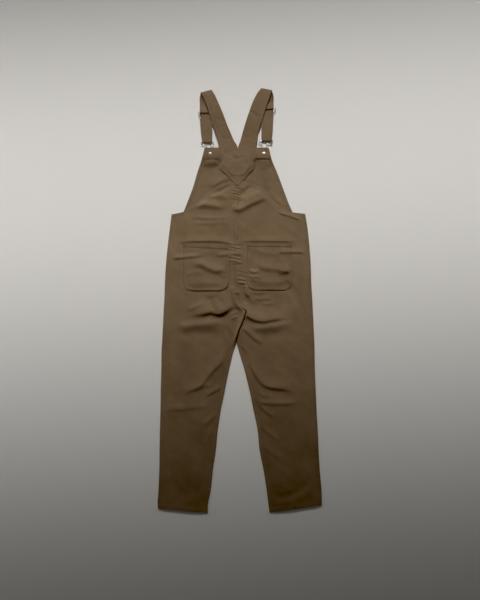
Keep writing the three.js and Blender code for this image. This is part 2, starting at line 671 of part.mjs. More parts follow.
for (const { side, x, y } of BUTTONS) {
  const { radius, height } = BUTTON_CAP;
  const shank = BUTTON_SHANK;
  const cap = turned([
    [0, 0],
    [radius - 1, 0],
    [radius, 0.8],
    [radius, height - 0.6],
    [radius - 0.8, height],
    [shank.radius, height],
    [shank.radius, shank.top],
    [0, shank.top],
  ]);
  const tackZ = BUTTON_LIFT.height + 2 * CLOTH + 2 * SEAM_GAP;
  const tack = turned([
    [0, tackZ],
    [TACK.radius, tackZ],
    [TACK.radius, tackZ + 0.5 * TACK.height],
    [0.75 * TACK.radius, tackZ + TACK.height],
    [0, tackZ + TACK.height],
  ]);
  place(`bib_button_${side}`, cap.translate(x, y, 0), NICKEL);
  place(`button_back_${side}`, tack.translate(x, y, 0), TACK_PLATE);
}

// The origin goes under the middle of the bounding box.
const box = new THREE.Box3().setFromObject(garment);
const centre = box.getCenter(new Vector3());
garment.position.set(-centre.x, -centre.y, -box.min.z);

export default garment;
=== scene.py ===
# %% [markdown]
# # Bib overalls in khaki twill, laid flat with the back up
#
# Work clothes are sewn from a few flat panels, so the scene is built the way the garment is: one
# shell of cloth for each panel, each laid over the one below, then straps, metal and thread.
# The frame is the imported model. Its boxes say where each piece belongs, and its solids stay for
# collision while the finer pieces here are shown in their place.

# %% Load the frame
import math

import bpy
import numpy as np
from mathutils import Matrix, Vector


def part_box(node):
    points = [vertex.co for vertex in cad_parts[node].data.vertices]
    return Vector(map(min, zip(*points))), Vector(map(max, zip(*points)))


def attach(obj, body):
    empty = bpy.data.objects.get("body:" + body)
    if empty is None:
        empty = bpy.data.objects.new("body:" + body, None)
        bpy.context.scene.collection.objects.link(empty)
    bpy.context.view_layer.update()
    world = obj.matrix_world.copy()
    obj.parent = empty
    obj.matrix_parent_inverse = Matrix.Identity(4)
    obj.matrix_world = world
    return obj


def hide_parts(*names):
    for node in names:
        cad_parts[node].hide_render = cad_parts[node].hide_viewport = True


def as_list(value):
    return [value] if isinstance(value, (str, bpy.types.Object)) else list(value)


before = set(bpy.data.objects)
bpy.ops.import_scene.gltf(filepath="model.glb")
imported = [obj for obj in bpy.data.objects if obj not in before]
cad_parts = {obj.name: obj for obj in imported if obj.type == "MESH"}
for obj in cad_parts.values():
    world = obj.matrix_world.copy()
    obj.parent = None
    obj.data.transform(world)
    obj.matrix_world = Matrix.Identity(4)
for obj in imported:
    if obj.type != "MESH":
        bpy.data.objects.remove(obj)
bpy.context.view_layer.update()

# %% [markdown]
# ## Measuring as a cutter does
#
# A pattern cutter measures across from the centre back seam and up from the hem. All tables here
# use those two measures, in millimetres. The left button's tack lies in the middle of its box, so
# its known place on the pattern gives the shift between the pattern and the frame.

# %% From the pattern to the frame
MM = 0.001
BUTTONS = {"left": (-96, 1255), "right": (92, 1256)}
tack_low, tack_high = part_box("button_back_left")
ORIGIN = np.array([
    (tack_low.x + tack_high.x) / 2 - BUTTONS["left"][0] * MM,
    (tack_low.y + tack_high.y) / 2 - BUTTONS["left"][1] * MM,
    0.0,
])


def in_frame(points):
    """Points of the pattern, in millimetres, as places in the frame, in metres."""
    return np.asarray(points, float).reshape(-1, 3) * MM + ORIGIN


print("the centre back seam meets the hem line at", ORIGIN.round(4))

# %% [markdown]
# ## The pattern
#
# These are the same sizes as the solids': the outline of the legs, the slope of the hems, the low
# back's curved top edge, the slanted bib and the V yoke. A smooth line runs through each table's
# rows, because a cut edge in cloth is a curve and not a chain of straight bits.

# %% Sizes of the cut
SIDES = {"left": 1, "right": -1}  # which way the middle lies from each side seam
CLOTH = 1.6  # wall of the solids' twill
THIN = 1.3  # wall of the shells' twill, which leaves room for their relief
COVER = 0.15  # how far a shell stands over what it covers
STRAP_THICK = 1.9
STRAP_WIDE = 41
SEAM_GAP = 0.3
AIR = 2.6  # room between the back and the front where nothing is folded
EDGE_ROUND = 34  # width over which a leg rounds down to its seams
CROTCH_Y = 702
WAIST_Y = 1035
SIDE_CORNER_Y = 1045
BIB_TOP_Y = 1276
BIB_HEM = 38
POCKET_HEM = 17
LEG_HEM = 15

OUTLINE = {
    "y": [0, 26, 79, 149, 219, 289, 359, 429, 499, 569, 600, 640, CROTCH_Y, 722, 760, 812, 849,
          919, 989, SIDE_CORNER_Y],
    "left": [-278, -280, -277, -274, -273, -272, -270, -269, -267, -266, -264, -262, -259, -258,
             -256, -254, -252, -246, -238, -231],
    "right": [294, 294, 293, 287, 283, 280, 276, 273, 270, 269, 268, 266, 263, 262, 260, 257,
              256, 252, 245, 236],
    "seam": [3.5, 1.8, 3.5, 1.8, 0, 0, -1.8, -1.8, -3.5, -5, -4, 8, 29, 9, -10, 0, 0, 0, 0, 0],
    "part": [217, 213, 196, 178, 154, 140, 115, 87, 56, 17, 0, 0, 0, 0, 0, 0, 0, 0, 0, 0],
}
HEM = {"x": [-280, -105, 110, 294], "y": [14, 0, 2, 26]}
BACK_TOP = {
    "x": [-232, -190, -168, -133, -101, -62, -24, 0, 24, 62, 101, 124, 147, 180, 236],
    "y": [1043, 1052, 1066, 1092, 1120, 1145, 1157, 1168, 1157, 1145, 1119, 1092, 1071, 1053, 1045],
}
BIB = {
    "y": [WAIST_Y, 1080, 1136, 1192, 1234, BIB_TOP_Y],
    "left": [-196, -178, -157, -140, -126, -115],
    "right": [199, 179, 158, 137, 119, 108],
}
POCKETS = {
    "left": {
        "left": -190, "right": -32, "top_left": 944, "top_right": 936, "bottom": 776, "corner": 30},
    "right": {
        "left": 33, "right": 189, "top_left": 945, "top_right": 945, "bottom": 778, "corner": 30},
}
YOKE = {
    "y": [1145, 1156, 1180, 1202, 1214, BIB_TOP_Y],
    "left": [-1.5, -14, -40, -62, -64, -65],
    "right": [1.5, 12, 34, 56, 58, 66],
}


def along(table, key, column, at):
    """The value of a column on a smooth line through the table's rows."""
    keys, values = np.array(table[key], float), np.array(table[column], float)
    at = np.clip(np.asarray(at, float), keys[0], keys[-1])
    i = np.clip(np.searchsorted(keys, at) - 1, 0, len(keys) - 2)
    before, after = np.maximum(i - 1, 0), np.minimum(i + 2, len(keys) - 1)
    gap = keys[i + 1] - keys[i]
    t = (at - keys[i]) / gap
    start = (values[i + 1] - values[before]) / (keys[i + 1] - keys[before])
    end = (values[after] - values[i]) / (keys[after] - keys[i])
    ends = values[i] * (1 + 2 * t) * (1 - t) ** 2 + values[i + 1] * t * t * (3 - 2 * t)
    return ends + gap * (start * t * (1 - t) ** 2 - end * t * t * (1 - t))


def ramp(low, high, value):
    """0 at low and 1 at high, with a soft start and end."""
    t = np.clip((np.asarray(value, float) - low) / (high - low), 0, 1)
    return t * t * (3 - 2 * t)


def edges(table, y):
    """The left and the right edge of a panel at a height."""
    return along(table, "y", "left", y), along(table, "y", "right", y)


def leg_edges(side, y):
    """The side seam and the inner edge of one half at a height."""
    half = np.maximum(along(OUTLINE, "y", "part", y), SEAM_GAP) / 2
    return along(OUTLINE, "y", side, y), along(OUTLINE, "y", "seam", y) - SIDES[side] * half


for level in (0, CROTCH_Y, SIDE_CORNER_Y):
    widths = [abs(float(np.subtract(*leg_edges(side, level)))) for side in SIDES]
    print(f"at {level} mm: left {widths[0]:.0f} mm wide, right {widths[1]:.0f} mm wide")

# %% [markdown]
# ## Folds
#
# Cloth that has been worn and laid down keeps bulges under the seat and behind the knees. Each
# fold here is a line over the back with a height, and it falls off softly on one side and steeply
# on the other, as a fold does where it hangs over its own shadow. A cloth simulation would make
# folds too, but not these ones in these places, so they are listed one by one.

# %% The folds of the back
FOLDS = [  # line over the back, rise, and how widely it falls off on its left and on its right
    # under the seat
    ([(-200, 692), (-140, 695), (-112, 699), (-96, 704), (-84, 701), (-72, 697), (-56, 700),
      (-38, 711), (-20, 722), (0, 729)], 9, 28, 9.5),
    ([(0, 714), (34, 690), (60, 676), (88, 671), (125, 677), (196, 686)], 8, 30, 8),
    ([(-215, 648), (-133, 658), (-40, 664)], 6, 14, 20),
    ([(38, 646), (105, 649), (205, 666)], 5, 14, 15),
    ([(-240, 620), (-133, 630), (-28, 607)], -1.8, 16, 16),
    ([(66, 614), (147, 622), (228, 614)], -1.5, 15, 15),
    ([(16, 652), (34, 634), (60, 610), (90, 588)], 4.2, 13, 6),
    # the outer thigh, the hollow at the crotch, and small creases beside it
    ([(150, 806), (180, 785), (217, 724), (240, 651)], -4, 14, 9),
    ([(12, 800), (14, 778), (22, 756), (38, 730)], -10, 8, 9),
    ([(46, 772), (72, 768), (102, 774)], 2, 7, 4.5),
    ([(58, 752), (84, 746), (122, 752)], 2.2, 9, 5),
    ([(80, 734), (102, 729), (128, 734)], 2, 8, 4.5),
    ([(-184, 706), (-146, 720), (-108, 736)], 2.4, 11, 7),
    ([(-30, 690), (-12, 697), (6, 704)], 2.2, 5, 4.5),
    ([(-26, 676), (-10, 684), (8, 690)], 2, 5, 4.5),
    ([(-44, 652), (-30, 628), (-20, 596)], -1.8, 7, 7),
    # the right pocket's inner edge
    ([(34, 848), (54, 841), (76, 846)], 2.4, 6.5, 5),
    ([(34, 828), (52, 824), (72, 832)], 2.2, 6, 5),
    ([(36, 810), (54, 814), (70, 808)], 1.8, 6, 5),
    # round the crotch
    ([(-18, 806), (-15, 766), (-8, 738), (6, 719), (30, 702)], 6, 8, 10),
    ([(30, 806), (38, 776), (48, 750), (60, 722)], 4.2, 14, 10),
    ([(-14, 776), (6, 770), (22, 766), (44, 752)], 4.4, 12, 8),
    ([(24, 708), (12, 670), (-2, 628), (-14, 584)], 5, 14, 7),
    ([(-100, 760), (-93, 734), (-88, 706)], -3, 9, 9),
    ([(-78, 752), (-75, 730), (-72, 706)], 2.4, 8, 8),
    ([(-58, 750), (-54, 730), (-46, 712)], -1.8, 8, 8),
    # across the pockets
    ([(-178, 876), (-126, 870), (-98, 856), (-70, 849), (-38, 860)], 4, 20, 13),
    ([(64, 874), (110, 858), (150, 850), (196, 846)], 3.6, 22, 13),
    # behind the knees
    ([(-202, 414), (-169, 428), (-134, 443), (-103, 479), (-80, 506), (-58, 526), (-30, 536)],
     4.5, 22, 8.5),
    ([(-150, 434), (-120, 444), (-90, 444)], 2, 12, 7),
    ([(26, 546), (56, 499), (74, 468), (92, 448), (121, 438), (157, 434), (206, 422)],
     6.2, 26, 7.5),
    ([(46, 414), (84, 387), (147, 382), (220, 386)], 3.6, 15, 7),
    ([(66, 424), (94, 408), (124, 414)], 2, 9, 6),
    ([(66, 388), (94, 360), (132, 328)], 3, 10, 6),
    # down the calves
    ([(74, 310), (105, 283), (146, 252)], 2.8, 11, 7),
    ([(88, 236), (112, 214), (150, 194)], 1.6, 10, 7),
    ([(-116, 408), (-80, 427), (-46, 443)], 3, 12, 6),
    ([(-126, 298), (-91, 329), (-60, 350)], 2.8, 11, 7),
    ([(-124, 230), (-102, 262), (-80, 296)], 1.8, 10, 7),
    ([(-262, 362), (-186, 364), (-100, 376)], 2.4, 15, 8),
    # over the hems
    ([(-245, 122), (-210, 77), (-160, 62), (-100, 150)], -2.4, 14, 14),
    ([(-190, 108), (-140, 161), (-96, 220)], 1.8, 14, 12),
    ([(108, 84), (154, 56), (217, 77), (285, 140)], -2.4, 12, 14),
    ([(122, 36), (189, 38), (270, 92)], 1.4, 12, 12),
    # the waist and the low back
    ([(-190, 1070), (-122, 1079), (-36, 1066)], 6, 16, 12),
    ([(-30, 1066), (8, 1063), (49, 1084), (124, 1114)], 6, 17, 11),
    ([(-132, 1104), (-84, 1110), (-20, 1100)], 3.2, 12, 10),
    ([(16, 1086), (52, 1108), (98, 1128)], 3, 11, 9),
    ([(8, 1106), (32, 1130), (66, 1152)], -3.2, 8, 8),
    ([(-98, 1108), (-62, 1124), (-24, 1148)], -3, 9, 7),
    ([(140, 1052), (182, 1040), (226, 1022)], 4.2, 10, 5),
    ([(-168, 1036), (-90, 1029), (-12, 1033)], 2, 8, 5),
    ([(-156, 1011), (-90, 1013), (-16, 1018)], 1.8, 8, 5),
    # beside and above the pockets
    ([(-238, 890), (-194, 893), (-160, 896), (-116, 898)], 3, 9, 5),
    ([(-84, 900), (-42, 902), (-12, 905), (22, 906)], 2.6, 9, 5),
    ([(136, 911), (186, 912), (240, 911)], 2.8, 9, 5),
    ([(-214, 946), (-150, 949), (-60, 949), (-12, 934)], 3.2, 14, 4.5),
    ([(6, 950), (100, 950), (214, 949)], 3.2, 14, 4.5),
]


def spline(points, count):
    """Points on a smooth line through a few."""
    points = np.array(points, float)
    before, after = 2 * points[0] - points[1], 2 * points[-1] - points[-2]
    p = np.vstack([before, points, after])
    at = np.linspace(0, len(points) - 1, count)
    i = np.minimum(at.astype(int), len(points) - 2)
    t = (at - i)[:, None]
    a, b, c, d = p[i], p[i + 1], p[i + 2], p[i + 3]
    square, cube = 2 * a - 5 * b + 4 * c - d, 3 * b - a - 3 * c + d
    return 0.5 * (2 * b + (c - a) * t + square * t**2 + cube * t**3)


def fold_height(fold, x, y):
    """A fold's height at each point: greatest on its line, nothing at the line's ends."""
    points, rise, left_width, right_width = fold
    points = spline(points, 6 * len(points))
    margin = 3 * max(left_width, right_width)
    (low_x, low_y), (high_x, high_y) = points.min(0) - margin, points.max(0) + margin
    close = (x > low_x) & (x < high_x) & (y > low_y) & (y < high_y)
    height = np.zeros(x.shape)
    x, y = x[close], y[close]
    nearest = np.full(x.shape, np.inf)
    left_side, share = np.zeros(x.shape, bool), np.zeros(x.shape)
    for i, (start, end) in enumerate(zip(points[:-1], points[1:])):
        step = end - start
        px, py = x - start[0], y - start[1]
        t = np.clip((px * step[0] + py * step[1]) / (step @ step), 0, 1)
        away = np.hypot(px - t * step[0], py - t * step[1])
        closer = away < nearest
        nearest = np.where(closer, away, nearest)
        left_side = np.where(closer, step[0] * py - step[1] * px > 0, left_side)
        share = np.where(closer, (i + t) / (len(points) - 1), share)
    width = np.where(left_side, left_width, right_width)
    dies_out = ramp(0, 0.25, share) * ramp(0, 0.25, 1 - share)
    height[close] = rise * dies_out * np.exp(-((nearest / width) ** 2))
    return height


def folds_height(folds, x, y):
    """The height of several folds together."""
    return sum(fold_height(fold, x, y) for fold in folds)


print("folds over the back:", len(FOLDS))

# %% [markdown]
# ## How the back lies
#
# The back lies on the front with a little air between them. It comes down to the front at the side
# seams, at the inner leg seams and along the low back's edge. Real twill is never quite even, so
# a sum of long soft waves in fixed directions gives it a slight roll.

# %% Heights of the back over what it lies on
rng = np.random.default_rng(11)
WAVES = [  # length and height
    (190, 0.5), (140, 0.45), (110, 0.4), (84, 0.34), (66, 0.28), (52, 0.2), (41, 0.14), (33, 0.1),
]
ROLL = [
    (rng.uniform(0, 2 * math.pi), 2 * math.pi / length, rng.uniform(0, 2 * math.pi), size)
    for length, size in WAVES
]


def roll(x, y):
    """The slight unevenness of worn twill."""
    return sum(
        size * np.sin(turns * (x * math.cos(way) + y * math.sin(way)) + start)
        for way, turns, start, size in ROLL
    )


CROTCH_LIP = 4.5  # the rounding at the crotch, where the two halves meet


def loft(side, x, y, uneven=1.0):
    """How far the back stands clear of what it lies on."""
    outer, inner = leg_edges(side, y)
    rounding = ramp(0, EDGE_ROUND, abs(x - outer))
    turn = EDGE_ROUND + (CROTCH_LIP - EDGE_ROUND) * ramp(560, 600, y)
    near_leg_seam = ramp(0, turn, abs(x - inner))
    leg = 1 - ramp(CROTCH_Y - 6, CROTCH_Y + 34, y)
    top = ramp(0, 26, along(BACK_TOP, "x", "y", x) - y)
    rounding = rounding * (1 + (near_leg_seam - 1) * leg) * (0.25 + 0.75 * top)
    height = AIR + uneven * roll(x, y) + folds_height(FOLDS, x, y)
    return np.maximum(0, rounding * height)


BUTTON_LIFT = {"height": 5.7, "flat": 23, "reach": 56}


def bib_lift(x, y):
    """The bib stands on the buckles and the buttons' caps at its upper corners."""
    lifts = [
        1 - ramp(BUTTON_LIFT["flat"], BUTTON_LIFT["reach"], np.hypot(x - bx, y - by))
        for bx, by in BUTTONS.values()
    ]
    return BUTTON_LIFT["height"] * np.maximum(*lifts)


sample = loft("right", np.array([110.0]), np.array([690.0]))[0]
print(f"the fold under the right seat stands {sample:.1f} mm clear")

# %% [markdown]
# ## Seams
#
# What makes flat cloth read as a garment is its seams: a felled seam or a turned hem is two or
# three layers thick, it ends in a small step, and the row of stitches pulls a groove into it with
# slight puckers on both sides. A seam here is a function of the distance from the edge.

# %% The relief of hems, felled seams and puckers
def step_at(distance, width, height):
    """A doubled strip as wide as width along an edge."""
    return height * (1 - ramp(width - 0.4, width + 1.4, distance))


def groove_at(distance, row, depth, width=1.3):
    """The furrow that a row of stitches pulls."""
    return -depth * np.exp(-(((distance - row) / width) ** 2))


def puckers(run, distance, row, height, seed, reach=9.0):
    """Uneven gathers along a row of stitches. run is the distance along the seam."""
    r = np.random.default_rng(seed)
    waves = sum(
        size * np.sin(2 * math.pi * run / length + r.uniform(0, 6.3))
        for length, size in [(9.5, 0.5), (13.0, 0.8), (17.5, 0.8), (31.0, 0.6)]
    )
    strength = 0.6 + 0.4 * np.sin(2 * math.pi * run / 83 + r.uniform(0, 6.3))
    return height * strength * waves * np.exp(-(((distance - row) / reach) ** 2))


def sewn(distance, run, width, height, rows, pucker, seed, reach=9.0):
    """A doubled strip. rows has its furrows' places and depths, pucker a row and a height."""
    relief = step_at(distance, width, height)
    for row, depth in rows:
        relief = relief + groove_at(distance, row, depth)
    return relief + puckers(run, distance, *pucker, seed, reach)


# %% The furrow round a pocket
def pocket_edge_distance(pocket, x, y):
    """How far each point is from the patch's sewn edge: its sides, bottom and round corners."""
    left, right, low, corner = pocket["left"], pocket["right"], pocket["bottom"], pocket["corner"]
    straight = np.minimum(np.minimum(x - left, right - x), y - low)
    cx = np.where(x < (left + right) / 2, left + corner, right - corner)
    in_corner = (y < low + corner) & (abs(x - (left + right) / 2) > (right - left) / 2 - corner)
    return np.where(in_corner, corner - np.hypot(x - cx, y - low - corner), straight)


def pocket_furrow(side, x, y):
    """The back is drawn down along the pocket's stitched edge."""
    pocket = POCKETS[side]
    below_top = ramp(pocket["top_left"] + 4, pocket["top_left"] - 8, y)
    return groove_at(pocket_edge_distance(pocket, x, y), -1.2, 0.9, 2.2) * below_top


sample = pocket_furrow("left", np.array([-191.0]), np.array([860.0]))[0]
print(f"the back is drawn down {-sample:.1f} mm beside a pocket")

# %% Gathers across the centre back seam
GATHERS = [
    # from y, to y, spacing, from x, to x, depth
    (1086, 1140, 10.6, -16, 8, 2.1),
    (868, 944, 11.5, -32, 8, 2.2),
    (776, 846, 15.0, 3, 27, 2.8),
    (786, 830, 12.0, -38, -20, 1.0),
]


def gathers(x, y):
    """Short uneven ridges across the seam, where the stitching draws it up."""
    total = np.zeros(np.broadcast(x, y).shape)
    for low, high, pitch, left, right, depth in GATHERS:
        wander = 1.3 * np.sin(y / 17 + low) + 0.5 * np.sin(x / 11 + y / 29)
        wave = 0.5 + 0.5 * np.cos(2 * math.pi * (y - low + 0.16 * x) / pitch + wander)
        uneven = 0.6 + 0.4 * np.sin(y / 7.3 + x / 13 + low)
        along_seam = ramp(low - 4, low + 6, y) * ramp(high + 4, high - 6, y)
        across = ramp(left - 8, left + 5, x) * ramp(right + 8, right - 5, x)
        total += depth * uneven * wave**1.5 * along_seam * across
    return total


sample = gathers(np.full(80, -5.0), np.arange(868.0, 948.0))
print(f"the gathers are up to {sample.max():.1f} mm high")

# %% Grids that are finer along the seams
NEAR_EDGE = np.array([0, 0.8, 1.8, 3, 4.4, 6, 7.4, 8.4, 9.2, 10, 10.8, 11.8, 13.6, 16.4, 20])


def across_panel(outer, inner, middle):
    """Places across a panel, close together near both its edges."""
    way = np.sign(inner - outer)
    start, end = outer + way * NEAR_EDGE[-1], inner - way * NEAR_EDGE[-1]
    between = [start + (end - start) * i / (middle + 1) for i in range(1, middle + 1)]
    near_inner = [inner - way * d for d in NEAR_EDGE[::-1]]
    return np.array([outer + way * d for d in NEAR_EDGE] + between + near_inner)


def levels(low, high, low_steps, high_steps, spacing):
    """Heights of the rows: given steps at each end and an even spacing between."""
    start, end = low + low_steps[-1], high - high_steps[-1]
    count = int((end - start) / spacing)
    between = [start + (end - start) * i / (count + 1) for i in range(1, count + 1)]
    return np.array([low + d for d in low_steps] + between + [high - d for d in high_steps[::-1]])


def finer(rows, low, high):
    """The same rows, with one more between each two from low to high."""
    halfway = (rows[1:] + rows[:-1]) / 2
    return np.sort(np.concatenate([rows, halfway[(halfway > low) & (halfway < high)]]))


print("steps near an edge:", NEAR_EDGE)

# %% [markdown]
# ## From a grid to a shell of cloth
#
# Every panel is a grid of points on its upper face, with a second grid one cloth's thickness
# below. The rim between them is pushed out a little, so that a cut or turned edge looks soft.
# A solidify modifier would do the same, but here the underside has to stay flat where it rests.

# %% The helper that makes shells
def add_object(name, data):
    """An object in the scene from its mesh, light or camera."""
    thing = bpy.data.objects.new(name, data)
    bpy.context.scene.collection.objects.link(thing)
    return thing


def make_mesh(name, points, faces):
    """A smooth mesh object from points of the pattern."""
    mesh = bpy.data.meshes.new(name)
    mesh.from_pydata(in_frame(points).tolist(), [], [tuple(int(i) for i in face) for face in faces])
    mesh.update()
    mesh.polygons.foreach_set("use_smooth", [True] * len(mesh.polygons))
    return add_object(name, mesh)


def shell(name, lower, upper, bulge=0.35):
    """A closed wall of cloth between two grids, each an array of rows, columns and xyz."""
    rows, columns = lower.shape[:2]
    if np.cross(upper[0, 1] - upper[0, 0], upper[1, 0] - upper[0, 0])[2] < 0:
        lower, upper = lower[:, ::-1], upper[:, ::-1]
    ring = [(0, c) for c in range(columns)] + [(r, columns - 1) for r in range(1, rows)]
    ring += [(rows - 1, c) for c in range(columns - 2, -1, -1)]
    ring += [(r, 0) for r in range(rows - 2, 0, -1)]
    rim = np.array([(lower[r, c] + upper[r, c]) / 2 for r, c in ring])
    run = np.roll(rim, -1, 0) - np.roll(rim, 1, 0)
    out = np.stack([run[:, 1], -run[:, 0], np.zeros(len(run))], 1)
    rim = rim + bulge * out / np.maximum(np.linalg.norm(out, axis=1, keepdims=True), 1e-9)
    points = np.concatenate([lower.reshape(-1, 3), upper.reshape(-1, 3), rim])
    index = np.arange(rows * columns).reshape(rows, columns)
    a, b, c, d = index[:-1, :-1], index[:-1, 1:], index[1:, 1:], index[1:, :-1]
    top = rows * columns
    under, over = np.stack([a, d, c, b], -1), np.stack([a, b, c, d], -1) + top
    faces = [under.reshape(-1, 4), over.reshape(-1, 4)]
    low_ring = np.array([index[r, c] for r, c in ring])
    mid = 2 * top + np.arange(len(ring))
    nxt = np.roll(np.arange(len(ring)), -1)
    faces.append(np.stack([low_ring, low_ring[nxt], mid[nxt], mid], -1))
    faces.append(np.stack([mid, mid[nxt], low_ring[nxt] + top, low_ring + top], -1))
    return make_mesh(name, points, np.concatenate(faces))


def grid_at(x, y, z):
    """A grid of points from their places and heights."""
    return np.stack(np.broadcast_arrays(x, y, z), -1)


def declare_sheet(rests_on):
    """Makes a list of what a panel rests on, and does nothing more with it."""
    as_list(rests_on)


# %% [markdown]
# ## Khaki twill
#
# Twill is woven so that the threads step over by one in each row, which draws fine diagonal ribs
# across the cloth. A wave texture turned to 63 degrees, a little distorted, gives the ribs. A slow
# noise and a fine one together give the cloudy, flecked colour of cotton that has been dyed and
# washed. The ribs are bump only, because at a pitch of about a millimetre they are too fine for
# geometry.

# %% Helpers for materials
def node(tree, kind, values):
    """A shader node with its settings and inputs given, or linked where a value is a socket."""
    made = tree.nodes.new(kind)
    for name, value in values.items():
        if isinstance(value, bpy.types.NodeSocket):
            tree.links.new(value, made.inputs[name])
        elif name in made.inputs:
            made.inputs[name].default_value = value
        else:
            setattr(made, name, value)
    return made


def tones(tree, amount, low, dark, high, light):
    """A colour between two, by an amount that runs from low to high."""
    made = node(tree, "ShaderNodeValToRGB", {"Fac": amount})
    for i, (position, colour) in enumerate([(low, dark), (high, light)]):
        made.color_ramp.elements[i].position = position
        made.color_ramp.elements[i].color = (*colour, 1)
    return made.outputs["Color"]


def new_material(name, values):
    """A material with values set on its shader, then its tree and the shader."""
    material = bpy.data.materials.new(name)
    material.use_nodes = True
    shader = material.node_tree.nodes["Principled BSDF"]
    for key, value in values.items():
        shader.inputs[key].default_value = value
    return material, material.node_tree, shader


# %% The cloth's material
RIB_PITCH = 0.0011  # metres


def twill(name, dark, light, turn):
    """Cotton twill between two colours, with its ribs turned by an angle in degrees."""
    material, tree, shader = new_material(name, {
        "Roughness": 0.92, "Specular IOR Level": 0.25,
        "Sheen Weight": 0.12, "Sheen Roughness": 0.6})
    place = tree.nodes.new("ShaderNodeTexCoord").outputs["Object"]
    turned = node(tree, "ShaderNodeMapping", {
        "Vector": place, "Rotation": (0, 0, math.radians(turn))})
    ribs = node(tree, "ShaderNodeTexWave", {
        "wave_type": "BANDS", "bands_direction": "X", "Vector": turned.outputs["Vector"],
        "Scale": math.pi / 10 / RIB_PITCH, "Distortion": 1.2, "Detail": 1, "Detail Scale": 1.5})
    clouds = node(tree, "ShaderNodeTexNoise", {
        "Vector": place, "Scale": 9.0, "Detail": 8.0, "Roughness": 0.72}).outputs["Fac"]
    slubs = node(tree, "ShaderNodeTexNoise", {
        "Vector": place, "Scale": 420.0, "Detail": 2.0, "Roughness": 0.7}).outputs["Fac"]
    mixed = node(tree, "ShaderNodeMix", {
        "data_type": "FLOAT", "Factor": 0.35, "A": clouds, "B": slubs})
    colour = tones(tree, mixed.outputs["Result"], 0.36, dark, 0.64, light)
    tree.links.new(colour, shader.inputs["Base Color"])
    grain = node(tree, "ShaderNodeBump", {
        "Strength": 0.5, "Distance": 0.0002, "Height": ribs.outputs["Fac"]})
    fuzz = node(tree, "ShaderNodeBump", {
        "Strength": 0.35, "Distance": 0.0004, "Height": slubs, "Normal": grain.outputs["Normal"]})
    tree.links.new(fuzz.outputs["Normal"], shader.inputs["Normal"])
    return material


KHAKI = twill("khaki twill", (0.140, 0.096, 0.055), (0.196, 0.137, 0.083), 63)
KHAKI_STRAP = twill("khaki twill, doubled", (0.137, 0.093, 0.054), (0.191, 0.133, 0.083), 27)
KHAKI_INSIDE = twill("khaki twill, inside", (0.134, 0.093, 0.054), (0.186, 0.132, 0.081), -63)
print("cloth materials:", [m.name for m in (KHAKI, KHAKI_STRAP, KHAKI_INSIDE)])

# %% [markdown]
# ## Laying a panel
#
# Every flat piece is cut, given its cloth and laid on what it covers. One helper does this for all
# of them, so each panel below only has to say where its points are and how high they lie.

# %% Dressing a piece and laying it down
def dress(piece, material, slot, *replaced):
    """Gives a piece its finish, its body and the solids that it stands for."""
    piece.data.materials.append(material)
    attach(piece, "root")
    if replaced:
        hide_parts(*replaced)
    return piece


def lay(name, places, low, thick, finish, stands_for, rests_on, bulge=0.35):
    """A panel from its places, its underside's height, its thickness and its material. The slot
    given with the material is not used.
    """
    lower, upper = grid_at(*places, low), grid_at(*places, low + thick)
    panel = dress(shell(name, lower, upper, bulge), *finish, stands_for)
    declare_sheet(rests_on)
    return panel


# %% [markdown]
# ## The back panels
#
# Each half of the back is one piece of twill from the hem to the low back. The rows of its grid
# follow the sloping hem at the bottom and the curved edge at the top. The centre back seam is
# felled: the left half is folded over the right one and stitched down twice.

# %% Relief of a back panel
HEM_STEPS = np.array([0, 1, 2.4, 4.5, 7, 9.5, 11.5, 12.8, 13.8, 14.6, 15.4, 16.4, 18, 21, 25])
SIDE_ROW = 8.4  # where the stitches run, in from each edge
HEM_ROW = LEG_HEM - 1
TOP_ROWS = (2.4, 9.8)
CENTRE_ROWS = (1.8, 9.0)


def back_relief(side, x, y):
    """Hems, felled seams, their grooves and puckers, over the back's smooth form."""
    outer, inner = leg_edges(side, y)
    from_side, from_inner = abs(x - outer), abs(x - inner)
    from_hem = y - along(HEM, "x", "y", x)
    from_top = along(BACK_TOP, "x", "y", x) - y
    seed, felled = (3, 1.1) if side == "left" else (5, 0.25)
    above_crotch = ramp(CROTCH_Y - 10, CROTCH_Y + 20, y)
    top_rows, centre_rows = zip(TOP_ROWS, (0.2, 0.25)), zip(CENTRE_ROWS, (0.6, 0.7))
    hem_run = x + 0.6 * from_hem
    side_seam = sewn(from_side, y, 9, 0.6, [(SIDE_ROW, 0.5)], (7, 0.22), seed)
    hem = sewn(from_hem, hem_run, LEG_HEM, 1.1, [(HEM_ROW, 0.5)], (6, 0.34), seed + 1, 12)
    top = sewn(from_top, x, 11, 0.5, top_rows, (6, 0.22), seed + 2)
    centre = sewn(from_inner, y, 10, felled, centre_rows, (4, 0.4), 8, 13)
    inseam = sewn(from_inner, y, 9, 0.5, [(8.4, 0.35)], (6, 0.25), seed + 4)
    seams = side_seam + hem + top + centre * above_crotch + inseam * (1 - above_crotch)
    return seams + gathers(x, y) + pocket_furrow(side, x, y)


def back_top(side, x, y):
    """The height of the back's upper face."""
    flat = CLOTH + COVER
    return np.maximum(flat + loft(side, x, y) + back_relief(side, x, y), flat) + THIN


# %% The back panels
CROTCH_SLOT = 3.2  # room between the halves where the legs part
FINER_ROWS = ((774, 950), (966, 1036), (972, 1032))  # the pockets, and twice the low back


